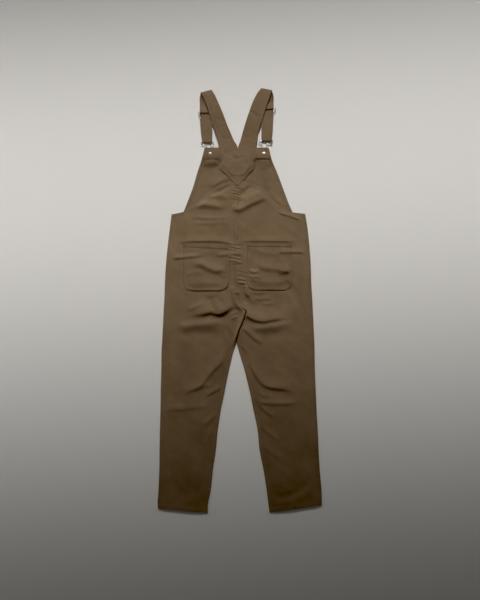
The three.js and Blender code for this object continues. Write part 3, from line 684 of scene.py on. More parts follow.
def back_places(side):
    """The places of a back panel's points, seen from above."""
    rows = levels(0, SIDE_CORNER_Y, HEM_STEPS, NEAR_EDGE, 3.2)
    for low, high in FINER_ROWS:
        rows = finer(rows, low, high)
    outer, inner = leg_edges(side, rows)
    slot = CROTCH_SLOT / 2 * ramp(582, 604, rows) * ramp(CROTCH_Y + 10, CROTCH_Y - 12, rows)
    inner = inner - SIDES[side] * slot * (1.4 - 0.6 * ramp(610, 700, rows))
    x = across_panel(outer, inner, 62).T
    level = np.broadcast_to(rows[:, None], x.shape)
    hem = (1 - ramp(0, 70, level)) * along(HEM, "x", "y", x)
    top = ramp(860, SIDE_CORNER_Y, level) * (along(BACK_TOP, "x", "y", x) - SIDE_CORNER_Y)
    return x, level + hem + top


BACK = {}  # for the pockets and the yoke, which lie on the back
for side in SIDES:
    places = back_places(side)
    underside = back_top(side, *places) - THIN
    BACK[side] = lay(f"back_{side}", places, underside, THIN, (KHAKI, "twill"),
                     f"back_panel_{side}", f"front_leg_{side}")

# %% [markdown]
# ## The fronts of the legs
#
# The garment lies on its front, so each front leg is flat against the surface. It is cut a little
# inside the back, and its centre front seam is straight.

# %% The front legs
SHORTER_FRONT = 0.8  # how far inside the back the front is cut
FRONT_THICK = 1.5


def front_places(side):
    """The places of a front leg's points."""
    rows = levels(1.5, WAIST_Y, HEM_STEPS, NEAR_EDGE[::3], 12)
    outer, inner = leg_edges(side, rows)
    inwards = SHORTER_FRONT * SIDES[side]
    meets = ramp(560, 630, rows)
    inner = (inner - inwards) * (1 - meets) - SIDES[side] * SEAM_GAP / 2 * meets
    x = across_panel(outer + inwards, inner, 12).T
    level = np.broadcast_to(rows[:, None], x.shape)
    return x, level + (1 - ramp(0, 70, level)) * along(HEM, "x", "y", x)


for side in SIDES:
    lay(f"front_{side}", front_places(side), 0.0, FRONT_THICK, (KHAKI, "twill"),
        f"front_leg_{side}", ())

# %% [markdown]
# ## The bib
#
# Above the low back the inside of the bib shows. Its slanted sides are turned in and stitched, and
# its top is turned in as a band 38 mm deep. The upper corners stand on the buckles and buttons
# below, so the cloth dips between them.

# %% The bib and its band
BIB_FOLDS = [
    ([(-118, 1216), (-92, 1224), (-62, 1218)], 1.6, 12, 8),
    ([(66, 1196), (86, 1206), (108, 1202)], 1.4, 10, 7),
    ([(-136, 1140), (-108, 1156), (-84, 1160)], 1.2, 14, 10),
    ([(92, 1150), (112, 1140), (136, 1122)], 1.2, 12, 8),
    ([(-98, 1134), (-62, 1158), (-20, 1176)], 2.6, 12, 7),
    ([(20, 1174), (50, 1163), (86, 1146)], 0.8, 12, 7),
    ([(100, 1134), (130, 1099), (160, 1075)], 1.8, 10, 6),
]


def bib_relief(x, y):
    """The turned-in sides of the bib, with a slight roll."""
    left, right = edges(BIB, y)
    from_side = np.minimum(x - left, right - x)
    seams = sewn(from_side, y, 10, 0.8, [(9, 0.4)], (7, 0.2), 21)
    uneven = 0.35 * (1 + roll(x, y) / 3) * ramp(0, 30, from_side)
    return seams + uneven + folds_height(BIB_FOLDS, x, y) * ramp(0, 14, from_side)


def bib_places(low, high, low_steps, high_steps, spacing, wider=0.0):
    """The places of the bib's points between two heights."""
    rows = levels(low, high, low_steps, high_steps, spacing)
    left, right = edges(BIB, rows)
    x = across_panel(left - wider, right + wider, 56).T
    return x, np.broadcast_to(rows[:, None], x.shape)


def bib_top(x, y):
    """The height of the bib's inside."""
    return bib_lift(x, y) + THIN + bib_relief(x, y)


places = bib_places(WAIST_Y + SEAM_GAP, BIB_TOP_Y - 0.6, np.array([0, 2]), NEAR_EDGE[::2], 3.8)
bib = lay("bib", places, bib_lift(*places), THIN + bib_relief(*places), (KHAKI_INSIDE, "twill"),
          "front_bib", ())

# %% The band along the bib's top
BAND_LOW = BIB_TOP_Y - BIB_HEM
BAND_THICK = 2.0
places = bib_places(BAND_LOW, BIB_TOP_Y + 0.4, NEAR_EDGE[:13], NEAR_EDGE[:13], 3.4, 0.2)
from_low, from_high = places[1] - BAND_LOW, BIB_TOP_Y - places[1]
rounded = 0.7 * np.sin(np.clip(from_low / BIB_HEM, 0, 1) * math.pi)
rounded = rounded + groove_at(from_low, 2.4, 0.6) + puckers(places[0], from_low, 3, 0.3, 23)
rounded = rounded + groove_at(from_high, 3, 0.6) + puckers(places[0], from_high, 3, 0.22, 24)
band = lay("bib_band", places, bib_top(*places) + COVER, BAND_THICK + np.maximum(rounded, -0.5),
           (KHAKI, "twill"), "bib_top_hem", bib.name)

# %% [markdown]
# ## The yoke
#
# The two straps merge in a V that is stitched over the point of the back. It is thick, because it
# is both straps on top of each other, and it rounds down at its edges. A soft crease runs across
# it where it bends over the bib's band.

# %% The yoke's form
def yoke_from_edge(x, y):
    """How far each point is from the nearer edge of the yoke."""
    left, right = edges(YOKE, y)
    return np.minimum(x - left, right - x)


def under_yoke(x, y):
    """The underside of the yoke: over the back's point, and over the bib's band above it."""
    side_loft = np.where(x < 0, loft("left", x, y, 0.0), loft("right", x, y, 0.0))
    past_back = ramp(3, 18, y - along(BACK_TOP, "x", "y", x)) * ramp(1238, 1226, y)
    droop = 1.5 * (1 - ramp(0, 14, yoke_from_edge(x, y))) * past_back
    return 2 * (CLOTH + SEAM_GAP) + SEAM_GAP + np.maximum(side_loft, bib_lift(x, y)) - droop


YOKE_BEND_Y = 1206  # below it the V's edges slant, so less of a step across lies away from them
YOKE_CREASES = [
    ([(-26, 1246), (0, 1240), (28, 1246)], -1.6, 5, 6),
    ([(-34, 1228), (-10, 1234), (10, 1230)], -0.8, 6, 5),
    ([(-46, 1262), (-30, 1250), (-14, 1256)], -0.8, 6, 5),
    ([(14, 1216), (28, 1222), (44, 1220)], -0.6, 7, 8),
]
ROUND_LINE = {
    "x": [-46, -36, -24, -8, 2, 14, 26, 36, 46],
    "y": [1210, 1196, 1182, 1176, 1175, 1177, 1184, 1197, 1210],
}


def yoke_relief(x, y):
    """The yoke's edges, the rounded end of its upper layer and its creases."""
    from_edge = np.where(y < YOKE_BEND_Y, 0.74, 1.0) * yoke_from_edge(x, y)
    crown = 1.5 * ramp(0, 26, from_edge) * (1 - ramp(1226, 1266, y))
    relief = crown + groove_at(from_edge, 3, 0.5) + groove_at(from_edge, 9, 0.3)
    above_round = y - along(ROUND_LINE, "x", "y", x)
    upper_layer = (0.9 * ramp(-1, 5, above_round) - 0.4) * (1 - ramp(YOKE_BEND_Y, 1236, y))
    relief = relief + upper_layer + groove_at(above_round, 0, 0.4)
    notch = groove_at(x - 1 - 0.5 * (BIB_TOP_Y - y), 0, 1.6, 2.6) * ramp(1250, 1268, y)
    return relief + folds_height(YOKE_CREASES, x, y) + notch + puckers(y + x, from_edge, 5, 0.3, 31)


def yoke_thick(x, y):
    """How thick the yoke is. Its top thins out inside the straps, so that no line shows there."""
    thin_top = 1.1 * ramp(BIB_TOP_Y - 10, BIB_TOP_Y, y)
    return np.maximum(STRAP_THICK + yoke_relief(x, y), 1.2) - thin_top


# %% The yoke
rows = levels(YOKE["y"][0], BIB_TOP_Y, np.array([0, 1.5, 3]), np.array([0, 1.5, 3]), 2.0)
left, right = edges(YOKE, rows)
share = np.concatenate([[0, 0.015, 0.035], np.linspace(0.06, 0.94, 45), [0.965, 0.985, 1]])
x = left[:, None] + (right - left)[:, None] * share
y = np.broadcast_to(rows[:, None], x.shape)
yoke = lay("yoke", (x, y), under_yoke(x, y), yoke_thick(x, y), (KHAKI_STRAP, "strap_twill"),
           "back_yoke", [BACK["left"], BACK["right"], band], 0.6)

# %% [markdown]
# ## The straps
#
# Each strap is one long flat band. It leaves the yoke, climbs over the shoulder, folds under
# itself, goes through the slider, turns round the bar of the buckle and comes back up to end at
# the slider. A band is easy to make as a sweep: pairs of edge points give its line and its
# width, and a section with soft edges and stitched furrows is carried along them.

# %% Where the straps run
SLIDER = {"depth": 19, "bar": 2, "rail": 3.2, "z": 3.4}  # z is the height of its middle
BAR_Z = 3.3  # height of the buckle's bar
LOOP_Z = 3.85  # height of the buckle's loop, which lies over the button's cap
LIE_Z = 0.9  # height of the middle of a strap that lies flat
FOLD_RADIUS = 2.9  # of the fold over the shoulder
# slider: its middle's height on the pattern and its outer end. bar: the height, then its two ends.
# meets: where the strap's inner edge meets the other strap, and how fast it crosses it.
STRAPS = {
    "left": {
        "up": [  # outer x, outer y, inner x, inner y, height
            (-70, 1300, -13, 1302, 6.8), (-77.7, 1325, -24.5, 1328, 7.4),
            (-86.5, 1353, -36.8, 1356, 9.0), (-98, 1389, -50.8, 1394, 10.4),
            (-110, 1426, -66.5, 1431, 10.6), (-121, 1453, -80, 1461, 9.0)],
        "shoulder": (-129, 1466, -90.5, 1477),
        "down": [  # outer x, outer y, inner x, inner y
            (-133, 1452, -90, 1462), (-133, 1428, -89.3, 1430), (-133, 1402, -88.9, 1402),
            (-130, 1345, -88.5, 1345), (-124, 1290, -90, 1290)],
        "slider": (1392, -138), "bar": (1295, -128.5, -82.5), "meets": (0.4, 0.8),
        "loop": {"shoulder": 1286, "neck": 7.4, "neck_x": -101.5, "x": -97, "y": 1254},
    },
    "right": {
        "up": [
            (68.6, 1304, 10.5, 1304, 6.8), (72, 1332, 18.2, 1332, 7.4),
            (80.5, 1358, 27, 1362, 9.0), (92.4, 1393, 39.2, 1399, 10.4),
            (103.6, 1429, 53.2, 1437, 10.6), (113.4, 1458, 68.6, 1467, 9.0)],
        "shoulder": (120, 1474, 80.5, 1482),
        "down": [
            (126, 1458, 84, 1466), (125.6, 1436, 83.3, 1438), (125, 1412, 82.6, 1412),
            (122.5, 1352, 82.6, 1352), (117.5, 1296, 83, 1296)],
        "slider": (1406, 133), "bar": (1301, 122, 74), "meets": (0.6, 0.0),
        "loop": {"shoulder": 1290, "neck": 7.4, "neck_x": 93.5, "x": 92.5, "y": 1255},
    },
}
for side, strap in STRAPS.items():
    print(f"the {side} strap turns round its buckle's bar {strap['bar'][0]} mm above the hem line")

# %% The line of a strap
SLIDER_WRAP = SLIDER["z"] - LIE_Z
BAR_WRAP = BAR_Z - LIE_Z


def round_bar(y, z, radius, turns):
    """Places and heights round a bar, at angles in degrees from straight below it."""
    turns = [math.radians(turn) for turn in turns]
    return [(y - radius * math.sin(turn), z - radius * math.cos(turn)) for turn in turns]


def threaded(strap):
    """Places and heights of the strap through the slider, round the buckle's bar and back."""
    y, bar_y = strap["slider"][0], strap["bar"][0]
    over, pitch = SLIDER["z"] + SLIDER_WRAP, (SLIDER["depth"] - SLIDER["bar"]) / 2
    slant = math.degrees(math.asin(2 * SLIDER_WRAP / pitch))
    return [
        (y + pitch + 14, LIE_Z + 2.4),
        *round_bar(y + pitch, SLIDER["z"], -SLIDER_WRAP, (0.3 * slant, 0, -0.5 * slant, -slant)),
        *round_bar(y, SLIDER["z"], SLIDER_WRAP, (-slant, -0.5 * slant, 0)),
        (y - 2 * pitch, LIE_Z), ((y + bar_y) / 2, LIE_Z),
        *round_bar(bar_y, BAR_Z, BAR_WRAP, range(0, 181, 30)),
        ((y + bar_y) / 2, over - 0.1), (y - 1.6 * pitch, over), (y + 2, over),
    ]


def strap_stations(side):
    """Pairs of edge points along a strap, from the yoke to its sewn end."""
    strap, out = STRAPS[side], -SIDES[side]
    seam_x, crossing = strap["meets"]
    stations = []
    for y in (1242, 1254, 1265, BIB_TOP_Y, 1286):
        edge_x = float(along(YOKE, "y", side, y)) - 0.4 * out
        lean = max(y - BIB_TOP_Y, 0) * out
        inner_x = seam_x + 0.35 * lean + crossing * max(BIB_TOP_Y - y, 0)
        z = float(under_yoke(np.array([edge_x]), np.array([y]))[0]) + STRAP_THICK / 2
        stations.append([(edge_x + 0.2 * lean, y, z), (inner_x, y, z)])
    stations += [[(a, b, z), (c, d, z)] for a, b, c, d, z in strap["up"]]
    ends = np.reshape(strap["shoulder"], (2, 2))
    fold = (ends[1] - ends[0]) / math.dist(*ends)
    beyond = np.array([-fold[1], fold[0]]) * np.sign(fold[0])
    for turn in np.radians((-75, -45, -15, 15, 45, 75)):
        reach, z = FOLD_RADIUS * math.cos(turn), LIE_Z + FOLD_RADIUS * (1 - math.sin(turn))
        stations.append([(*(end + reach * beyond), z) for end in ends])
    stations += [[(a, b, LIE_Z), (c, d, LIE_Z)] for a, b, c, d in strap["down"][:2]]
    rows = np.array(sorted(strap["down"], key=lambda row: row[1]))
    table = {"y": rows[:, 1], "outer": rows[:, 0], "inner": rows[:, 2]}
    for y, z in threaded(strap):
        stations.append([(float(along(table, "y", edge, y)), y, z) for edge in ("outer", "inner")])
    return np.array(stations)


def run_along(points):
    """How far along a line each of its points is."""
    return np.concatenate([[0], np.cumsum(np.linalg.norm(np.diff(points, axis=0), axis=1))])


def even(stations, spacing):
    """The same line with stations at an even spacing, on a smooth line through them."""
    length = run_along(stations.mean(1))
    table = {"run": length, **dict(enumerate(stations.reshape(-1, 6).T))}
    run = np.linspace(0, length[-1], int(length[-1] / spacing) + 1)
    return np.stack([along(table, "run", i, run) for i in range(6)], 1).reshape(-1, 2, 3), run


for side in SIDES:
    lines = strap_stations(side)
    print(f"{side} strap: {len(lines)} stations, up to {lines[..., 2].max():.1f} mm high")


# %% A strap's section
def strap_section(wide):
    """Across a strap: shares of its width, and half its thickness at each, with two furrows."""
    share = np.array([0, 0.4, 1.2, 2.4, 3.2, 4.2, 6, 8, 9, 10, 12.5, 16])
    share = np.concatenate([share / wide, [0.5], 1 - share[::-1] / wide])
    from_edge = np.minimum(share, 1 - share) * wide
    thick = 0.95 * np.sqrt(np.clip(1 - (1 - np.clip(from_edge / 1.6, 0, 1)) ** 2, 0.02, 1))
    thick = thick + groove_at(from_edge, 3, 0.4, 0.9) + groove_at(from_edge, 9, 0.35, 0.9)
    return share, thick


STRAP_CREASES = [
    ([(36, 1410), (54, 1394), (76, 1366)], -1.8, 6, 5),
    ([(54, 1404), (66, 1388), (88, 1384)], -1.2, 5, 5),
    ([(-76, 1384), (-64, 1372), (-40, 1368)], -1.0, 7, 6),
    ([(-60, 1318), (-44, 1308), (-20, 1312)], -0.9, 7, 6),
    ([(18, 1306), (36, 1314), (60, 1308)], -0.9, 6, 7),
]
print(f"a strap is {2 * strap_section(STRAP_WIDE)[1].max():.1f} mm thick at most")


# %% Straps as swept bands
def unit(ways):
    """The same directions, all one long."""
    return ways / np.maximum(np.linalg.norm(ways, axis=-1, keepdims=True), 1e-9)


def ring_faces(index, closed=False, turned=False):
    """Quads from each ring of points to the next one. turned is the other way out."""
    a, b = (index, np.roll(index, -1, 0)) if closed else (index[:-1], index[1:])
    faces = np.stack([a, np.roll(a, -1, 1), np.roll(b, -1, 1), b], -1).reshape(-1, 4)
    return faces[:, [0, 3, 2, 1]] if turned else faces


def strap_skin(stations, run, seed, over):
    """Rings of points round a strap. over is for the strap that crosses the other."""
    outer, inner = stations[:, 0], stations[:, 1]
    middle = (outer + inner) / 2
    normal = unit(np.cross(np.gradient(middle, axis=0), inner - outer))
    share, thick = strap_section(STRAP_WIDE)
    lines = outer[:, None] + (inner - outer)[:, None] * share[:, None]
    rising = run < run[np.argmax(middle[:, 1])]
    x, y, z = np.moveaxis(lines[rising], -1, 0)
    sinks = ramp(BIB_TOP_Y, BIB_TOP_Y - 32, y)
    on_yoke_z = under_yoke(x, np.minimum(y, BIB_TOP_Y)) + STRAP_THICK / 2
    on_yoke_z = on_yoke_z + (0.9 - 2.6 * sinks if over else -1.8 * sinks)
    meets = ramp(1312, 1280, y)
    lines[rising, :, 2] = z + meets * (on_yoke_z - z) + folds_height(STRAP_CREASES, x, y)
    lift = puckers(run, 0 * run, 0, 0.18, seed)[:, None] * np.sin(share * math.pi * 2)
    upper = lines + (lift + thick)[..., None] * normal[:, None]
    lower = lines + (lift - thick)[..., None] * normal[:, None]
    return np.concatenate([upper, lower[:, ::-1]], 1)


def strap_faces(skin):
    """The faces round a strap and at its two ends, all facing outwards."""
    count, ring = skin.shape[:2]
    index, half = np.arange(count * ring).reshape(count, ring), ring // 2
    around = ring_faces(index)
    near, far = index[[0, -1], :half], index[[0, -1], :half - 1:-1]
    ends = np.stack([near[:, :-1], near[:, 1:], far[:, 1:], far[:, :-1]], -1)
    faces = np.concatenate([around, ends[0], ends[1][:, ::-1]])
    a, b, c = np.moveaxis(skin.reshape(-1, 3)[around[:, :3]], 1, 0)
    inside_out = (np.cross(a, b) * c).sum() < 0
    return faces[:, ::-1] if inside_out else faces


# %% The straps
STRAP_SKIN = {}
for side, seed in (("left", 41), ("right", 43)):
    stations, run = even(strap_stations(side), 2.4)
    skin = STRAP_SKIN[side] = strap_skin(stations, run, seed, over=side == "left")
    strap = make_mesh(f"strap_{side}", skin.reshape(-1, 3), strap_faces(skin))
    dress(strap, KHAKI_STRAP, "strap_twill", f"strap_{side}")

# %% [markdown]
# ## Bright nickel
#
# The fittings are steel wire and stampings with bright nickel plating. Plating is smooth, so the
# shader is a metal with low roughness. A faint noise in the roughness gives the handling marks
# that keep it from looking like chrome on a car.

# %% The metal's material
def plated(name, colour, rough):
    """Plated metal with faint handling marks."""
    material, tree, shader = new_material(name, {"Metallic": 1.0})
    place = tree.nodes.new("ShaderNodeTexCoord").outputs["Object"]
    marks = node(tree, "ShaderNodeTexNoise", {
        "Vector": place, "Scale": 260.0, "Detail": 4.0}).outputs["Fac"]
    tinted = tones(tree, marks, 0.3, [0.86 * c for c in colour], 0.7, colour)
    tree.links.new(tinted, shader.inputs["Base Color"])
    dull = node(tree, "ShaderNodeMapRange", {
        "Value": marks, "To Min": rough - 0.06, "To Max": rough + 0.08})
    tree.links.new(dull.outputs["Result"], shader.inputs["Roughness"])
    return material


NICKEL = plated("bright nickel", (0.80, 0.79, 0.76), 0.24)
TACK_METAL = plated("warm plated tack", (0.98, 0.93, 0.84), 0.38)
print("metals:", NICKEL.name, TACK_METAL.name)

# %% [markdown]
# ## Buckles
#
# The buckle of such overalls is one bent wire: a bar that the strap turns round, shoulders that
# come in to a neck, and a loop that drops over the button's shank. Its end is a small ball. The
# wire is swept along a smooth line, and the ball swells from the line's own radius, so wire and
# ball are one closed skin.

# %% Wire that can swell
def ring_round(ahead, sides, squash=(1.0, 1.0)):
    """A ring of directions round each way ahead, squashed across and upwards."""
    ahead = unit(ahead)
    across = unit(np.cross(ahead, [0, 0, 1.0]))
    above = np.cross(across, ahead)
    turn = np.linspace(0, 2 * math.pi, sides, endpoint=False)[:, None]
    wide, high = squash[0] * np.cos(turn), squash[1] * np.sin(turn)
    return across[:, None] * wide + above[:, None] * high


def swept_rod(points, radii, closed=False, squash=(1.0, 1.0), sides=12):
    """Points and faces of a round bar along a line, with its own radius at each point."""
    points = np.array(points, float)
    ahead = np.gradient(points, axis=0)
    if closed:
        ahead = np.roll(points, -1, 0) - np.roll(points, 1, 0)
    skin = points[:, None] + ring_round(ahead, sides, squash) * np.reshape(radii, (-1, 1, 1))
    index = np.arange(len(points) * sides).reshape(-1, sides)
    faces = list(ring_faces(index, closed, turned=True))
    if not closed:
        faces += [index[0], index[-1][::-1]]
    return skin.reshape(-1, 3), faces


# %% The buckles
WIRE_RADIUS = 1.2
BALL = {"at": 0.006, "swell": 0.9}  # a share of the wire's length, and how much it swells there


def buckle_line(strap):
    """The line of the wire, from the ball along the bar, round the loop and back."""
    (bar_y, outer, knob), loop = strap["bar"], strap["loop"]
    out = math.copysign(1, outer - knob)
    x, y, neck, top = loop["x"], loop["y"], loop["neck"], loop["shoulder"]
    near, far = loop["neck_x"] + out * neck, loop["neck_x"] - out * neck
    between = (BAR_Z + LOOP_Z) / 2
    return [
        (knob + out * 2, bar_y, BAR_Z), (knob + out * 14, bar_y, BAR_Z),
        (outer - out * 14, bar_y, BAR_Z), (outer - out * 3, bar_y, BAR_Z),
        (outer, bar_y - 3.5, BAR_Z), (outer - out * 4, top, between),
        (near + out * 4, top - 1, between), (near, top - 6, LOOP_Z),
        (x + out * neck, y + 4, LOOP_Z), (x + out * 0.7 * neck, y - 5.5, LOOP_Z),
        (x, y - 8.4, LOOP_Z),
        (x - out * 0.7 * neck, y - 5.5, LOOP_Z), (x - out * neck, y + 4, LOOP_Z),
        (far, top - 6, LOOP_Z), (far - out * 4, top - 1, between),
        (knob + out * 3, top, between), (knob, bar_y - 5.2, BAR_Z),
    ]


for side, strap in STRAPS.items():
    line = spline(buckle_line(strap), 320)
    run = np.linspace(0, 1, len(line))
    radius = WIRE_RADIUS + BALL["swell"] * np.exp(-((run / BALL["at"] - 1) ** 2))
    radius[0], radius[-1] = 0.5, 0.7
    buckle = make_mesh(f"buckle_wire_{side}", *swept_rod(line, radius))
    dress(buckle, NICKEL, "nickel", f"buckle_{side}")
    print(buckle.name, "faces:", len(buckle.data.polygons))

# %% [markdown]
# ## Sliders
#
# The slider is stamped: two rails and three flat bars. Its corners are rounded by the stamping, so
# a frame swept round a rounded rectangle, flatter than it is wide, with one more bar across,
# looks right from near and keeps a soft highlight along each edge.

# %% The sliders
RAIL_RADIUS = 1.0
BAR_RADIUS = 0.95
FLATTER = 0.88  # how high the stamping is beside its width
CORNER = 2.6  # radius of its corners


def rounded_loop(x, y, wide, deep, corner, z, per_corner=8):
    """Points round a rounded rectangle."""
    points = []
    for cx, cy, start in ((1, 1, 0), (-1, 1, 90), (-1, -1, 180), (1, -1, 270)):
        for turn in np.radians(np.linspace(start, start + 90, per_corner)):
            points.append((x + cx * (wide / 2 - corner) + corner * math.cos(turn),
                           y + cy * (deep / 2 - corner) + corner * math.sin(turn), z))
    return points


for side, strap in STRAPS.items():
    (y, outer), third = strap["slider"], strap["down"][2]
    inner = third[2] - math.copysign(SLIDER["rail"] + 0.6, outer - third[2])
    x, wide = (outer + inner) / 2, abs(outer - inner)
    edge = rounded_loop(x, y, wide - 2.2, SLIDER["depth"] - 2, CORNER, SLIDER["z"])
    rim, rim_faces = swept_rod(edge, [RAIL_RADIUS] * len(edge), True, (1.05, FLATTER))
    across = [(x + s * (wide / 2 - 1.6), y, SLIDER["z"]) for s in np.linspace(-1, 1, 12)]
    bar, bar_faces = swept_rod(across, [BAR_RADIUS] * len(across), False, (1.0, FLATTER))
    faces = rim_faces + [face + len(rim) for face in bar_faces]
    slider = make_mesh(f"slider_frame_{side}", np.concatenate([rim, bar]), faces)
    dress(slider, NICKEL, "nickel", f"slider_{side}")
print("slider:", round(wide), "mm wide")

# %% [markdown]
# ## Buttons and their tacks
#
# The button is on the bib's outside, which faces the surface here. What shows on the inside is the
# head of the tack that holds it, a small bright dome with a rim. Both are turned shapes: a profile
# spun round an axis.

# %% The buttons
def turned_shape(profile, x, y, sides=40):
    """A profile of radius and height, spun round an upright axis."""
    turn = np.linspace(0, 2 * math.pi, sides, endpoint=False)
    radius, z = np.array(profile[1:-1]).T[..., None]
    rings = grid_at(x + radius * np.cos(turn), y + radius * np.sin(turn), z).reshape(-1, 3)
    points = np.concatenate([[(x, y, profile[0][1])], rings, [(x, y, profile[-1][1])]])
    index = 1 + np.arange(len(rings)).reshape(-1, sides)
    low, high, last = index[0], index[-1], len(points) - 1
    faces = list(ring_faces(index))
    faces += [(0, after, here) for here, after in zip(low, np.roll(low, -1))]
    faces += [(last, here, after) for here, after in zip(high, np.roll(high, -1))]
    return points, faces


CAP = [  # radius and height
    (0, 0.5), (3, 0.35), (6.2, 0.0), (7.6, 0.15), (8.3, 0.7), (8.4, 1.4), (8.0, 2.0), (7.2, 2.3),
    (4, 2.2), (2.9, 2.3), (2.7, 3), (2.7, 5.2), (0, 5.2),
]
TACK = [
    (0, 0), (5.5, 0), (6.0, 0.3), (6.0, 0.6), (5.6, 0.85), (5.1, 0.85), (4.4, 1.2), (3.5, 1.6),
    (2.4, 1.95), (1.3, 2.15), (0, 2.2),
]
TACK_CLEAR = 0.9  # how far the tack's rim stands over the band
tack_z = BUTTON_LIFT["height"] + THIN + COVER + BAND_THICK + TACK_CLEAR
raised = [(radius, z + tack_z) for radius, z in TACK]
for side, (x, y) in BUTTONS.items():
    cap = make_mesh(f"button_cap_{side}", *turned_shape(CAP, x, y))
    dress(cap, NICKEL, "nickel", f"bib_button_{side}")
    tack = make_mesh(f"button_tack_{side}", *turned_shape(raised, x, y))
    dress(tack, TACK_METAL, "tack", f"button_back_{side}")
print("buttons at", BUTTONS)

# %% [markdown]
# ## The back pockets
#
# A patch pocket is a square of twill with its edges turned under and its top hemmed. Its lower
# corners are rounded. It lies on the back's own surface, so its height is the back's height plus
# one layer, and it sags a little away from it between the seams.

# %% The folds of the pockets
POCKET_FOLDS = {
    "left": [
        ([(-170, 862), (-128, 868), (-96, 852), (-72, 846), (-44, 858)], 3.4, 14, 11),
        ([(-70, 934), (-90, 912), (-150, 908)], 1.2, 12, 9),
        ([(-184, 826), (-150, 842), (-118, 838)], 1.4, 9, 9),
        ([(-176, 796), (-110, 802), (-48, 798)], 1.4, 12, 7),
        ([(-66, 836), (-50, 826), (-36, 828)], 1.2, 7, 5),
    ],
    "right": [
        ([(76, 862), (98, 854), (124, 856)], 1.6, 11, 9),
        ([(132, 856), (158, 848), (186, 850)], 2.2, 12, 8),
        ([(140, 832), (166, 842), (188, 840)], 1.8, 8, 5),
        ([(60, 926), (96, 908), (160, 904)], 1.4, 13, 9),
        ([(38, 852), (54, 842), (76, 840)], 1.4, 7, 5),
        ([(36, 830), (56, 822), (84, 826)], 1.3, 8, 5),
        ([(60, 800), (110, 806), (170, 800)], 1.3, 12, 7),
    ],
}
print("folds on the pockets:", {side: len(folds) for side, folds in POCKET_FOLDS.items()})

# %% The pockets
NEAR_BOTTOM = np.array([0, 0.5, 1.2, 2.4, 4, 6, 8, 10, 12.5, 15.5, 19, 23, 27])
NEAR_TOP = np.array([0, 0.9, 1.9, 3, 4.6, 7.5, 11, 14, 15.6, 16.6, 17.4, 18.4, 20.5])
POCKET_ROWS = (2.2, 8.4)  # stitches in from the sewn edge
POCKET_TOP_ROWS = (2.4, POCKET_HEM - 1)
POCKET_SEEDS = {"left": 51, "right": 57}
POCKET_CLEAR = 0.35  # between the back and the pocket's underside


def pocket_top(pocket, x):
    """The height of a pocket's top edge, which slants a little."""
    share = (x - pocket["left"]) / (pocket["right"] - pocket["left"])
    return pocket["top_left"] + (pocket["top_right"] - pocket["top_left"]) * share


def pocket_places(pocket):
    """Places over a patch with rounded lower corners."""
    low, corner = pocket["bottom"], pocket["corner"]
    high = max(pocket["top_left"], pocket["top_right"])
    rows = levels(low, high, NEAR_BOTTOM, NEAR_TOP, 3)
    inset = corner - np.sqrt(np.maximum(corner**2 - np.maximum(corner - (rows - low), 0) ** 2, 0))
    x = across_panel(pocket["left"] + inset, pocket["right"] - inset, 40).T
    return x, rows[:, None] + (pocket_top(pocket, x) - high) * ramp(low + 60, high, rows)[:, None]


def pocket_lie(side, x, y):
    """The height of a pocket's underside, and how thick it looks at each point."""
    seed, pocket = POCKET_SEEDS[side], POCKETS[side]
    from_edge, from_top = pocket_edge_distance(pocket, x, y), pocket_top(pocket, x) - y
    sag = 1.3 * ramp(4, 40, from_edge) + folds_height(POCKET_FOLDS[side], x, y)
    sag = sag * ramp(2, 16, from_edge)
    edge_rows, top_rows = zip(POCKET_ROWS, (0.35, 0.4)), zip(POCKET_TOP_ROWS, (0.25, 1.5))
    relief = sewn(from_edge, x + y, 8.4, 0.45, edge_rows, (6, 0.3), seed + 1)
    relief = relief + sewn(from_top, x, POCKET_HEM, 1.1, top_rows, (POCKET_HEM - 3, 0.28), seed)
    return back_top(side, x, y) + POCKET_CLEAR + np.maximum(sag, 0), THIN + np.maximum(relief, -0.6)


for side, pocket in POCKETS.items():
    places = pocket_places(pocket)
    lay(f"pocket_{side}", places, *pocket_lie(side, *places), (KHAKI, "twill"),
        f"back_pocket_{side}", BACK[side])

# %% [markdown]
# ## Stitches
#
# Topstitching is what a maker looks at first. Each stitch here is a short bent thread that dives
# into the cloth at both ends. They are placed along lines on the pieces' own surfaces, so they
# follow every fold, and all the stitches of one panel are one mesh.

# %% A row of stitches
THREAD, thread_tree, thread_shader = new_material(
    "khaki thread", {"Roughness": 0.7, "Sheen Weight": 0.2})
fibres = node(thread_tree, "ShaderNodeTexNoise", {"Scale": 300.0, "Detail": 2.0}).outputs["Fac"]
thread_tones = tones(thread_tree, fibres, 0, (0.088, 0.056, 0.030), 1, (0.150, 0.100, 0.056))
thread_tree.links.new(thread_tones, thread_shader.inputs["Base Color"])
SIDES_OF_THREAD = 5


def stitches_along(line, stitch=3.0, gap=0.9, thick=0.42):
    """Skins of the stitches along a line of surface points, five rings to a stitch."""
    length = run_along(line)
    count = int(length[-1] / (stitch + gap))
    starts = (np.arange(count) + 0.15) * length[-1] / count
    run = starts[:, None] + np.array([0, 0.16, 0.5, 0.84, 1]) * stitch
    places = np.stack([np.interp(run, length, line[:, i]) for i in range(3)], -1)
    places[..., 2] += [-0.3, 0.12, 0.24, 0.12, -0.3]
    ring = ring_round(places[:, -1] - places[:, 0], SIDES_OF_THREAD)
    radius = thick * np.array([0.6, 1, 1, 1, 0.6])
    return (places[:, :, None] + ring[:, None] * radius[:, None, None]).reshape(count, -1, 3)


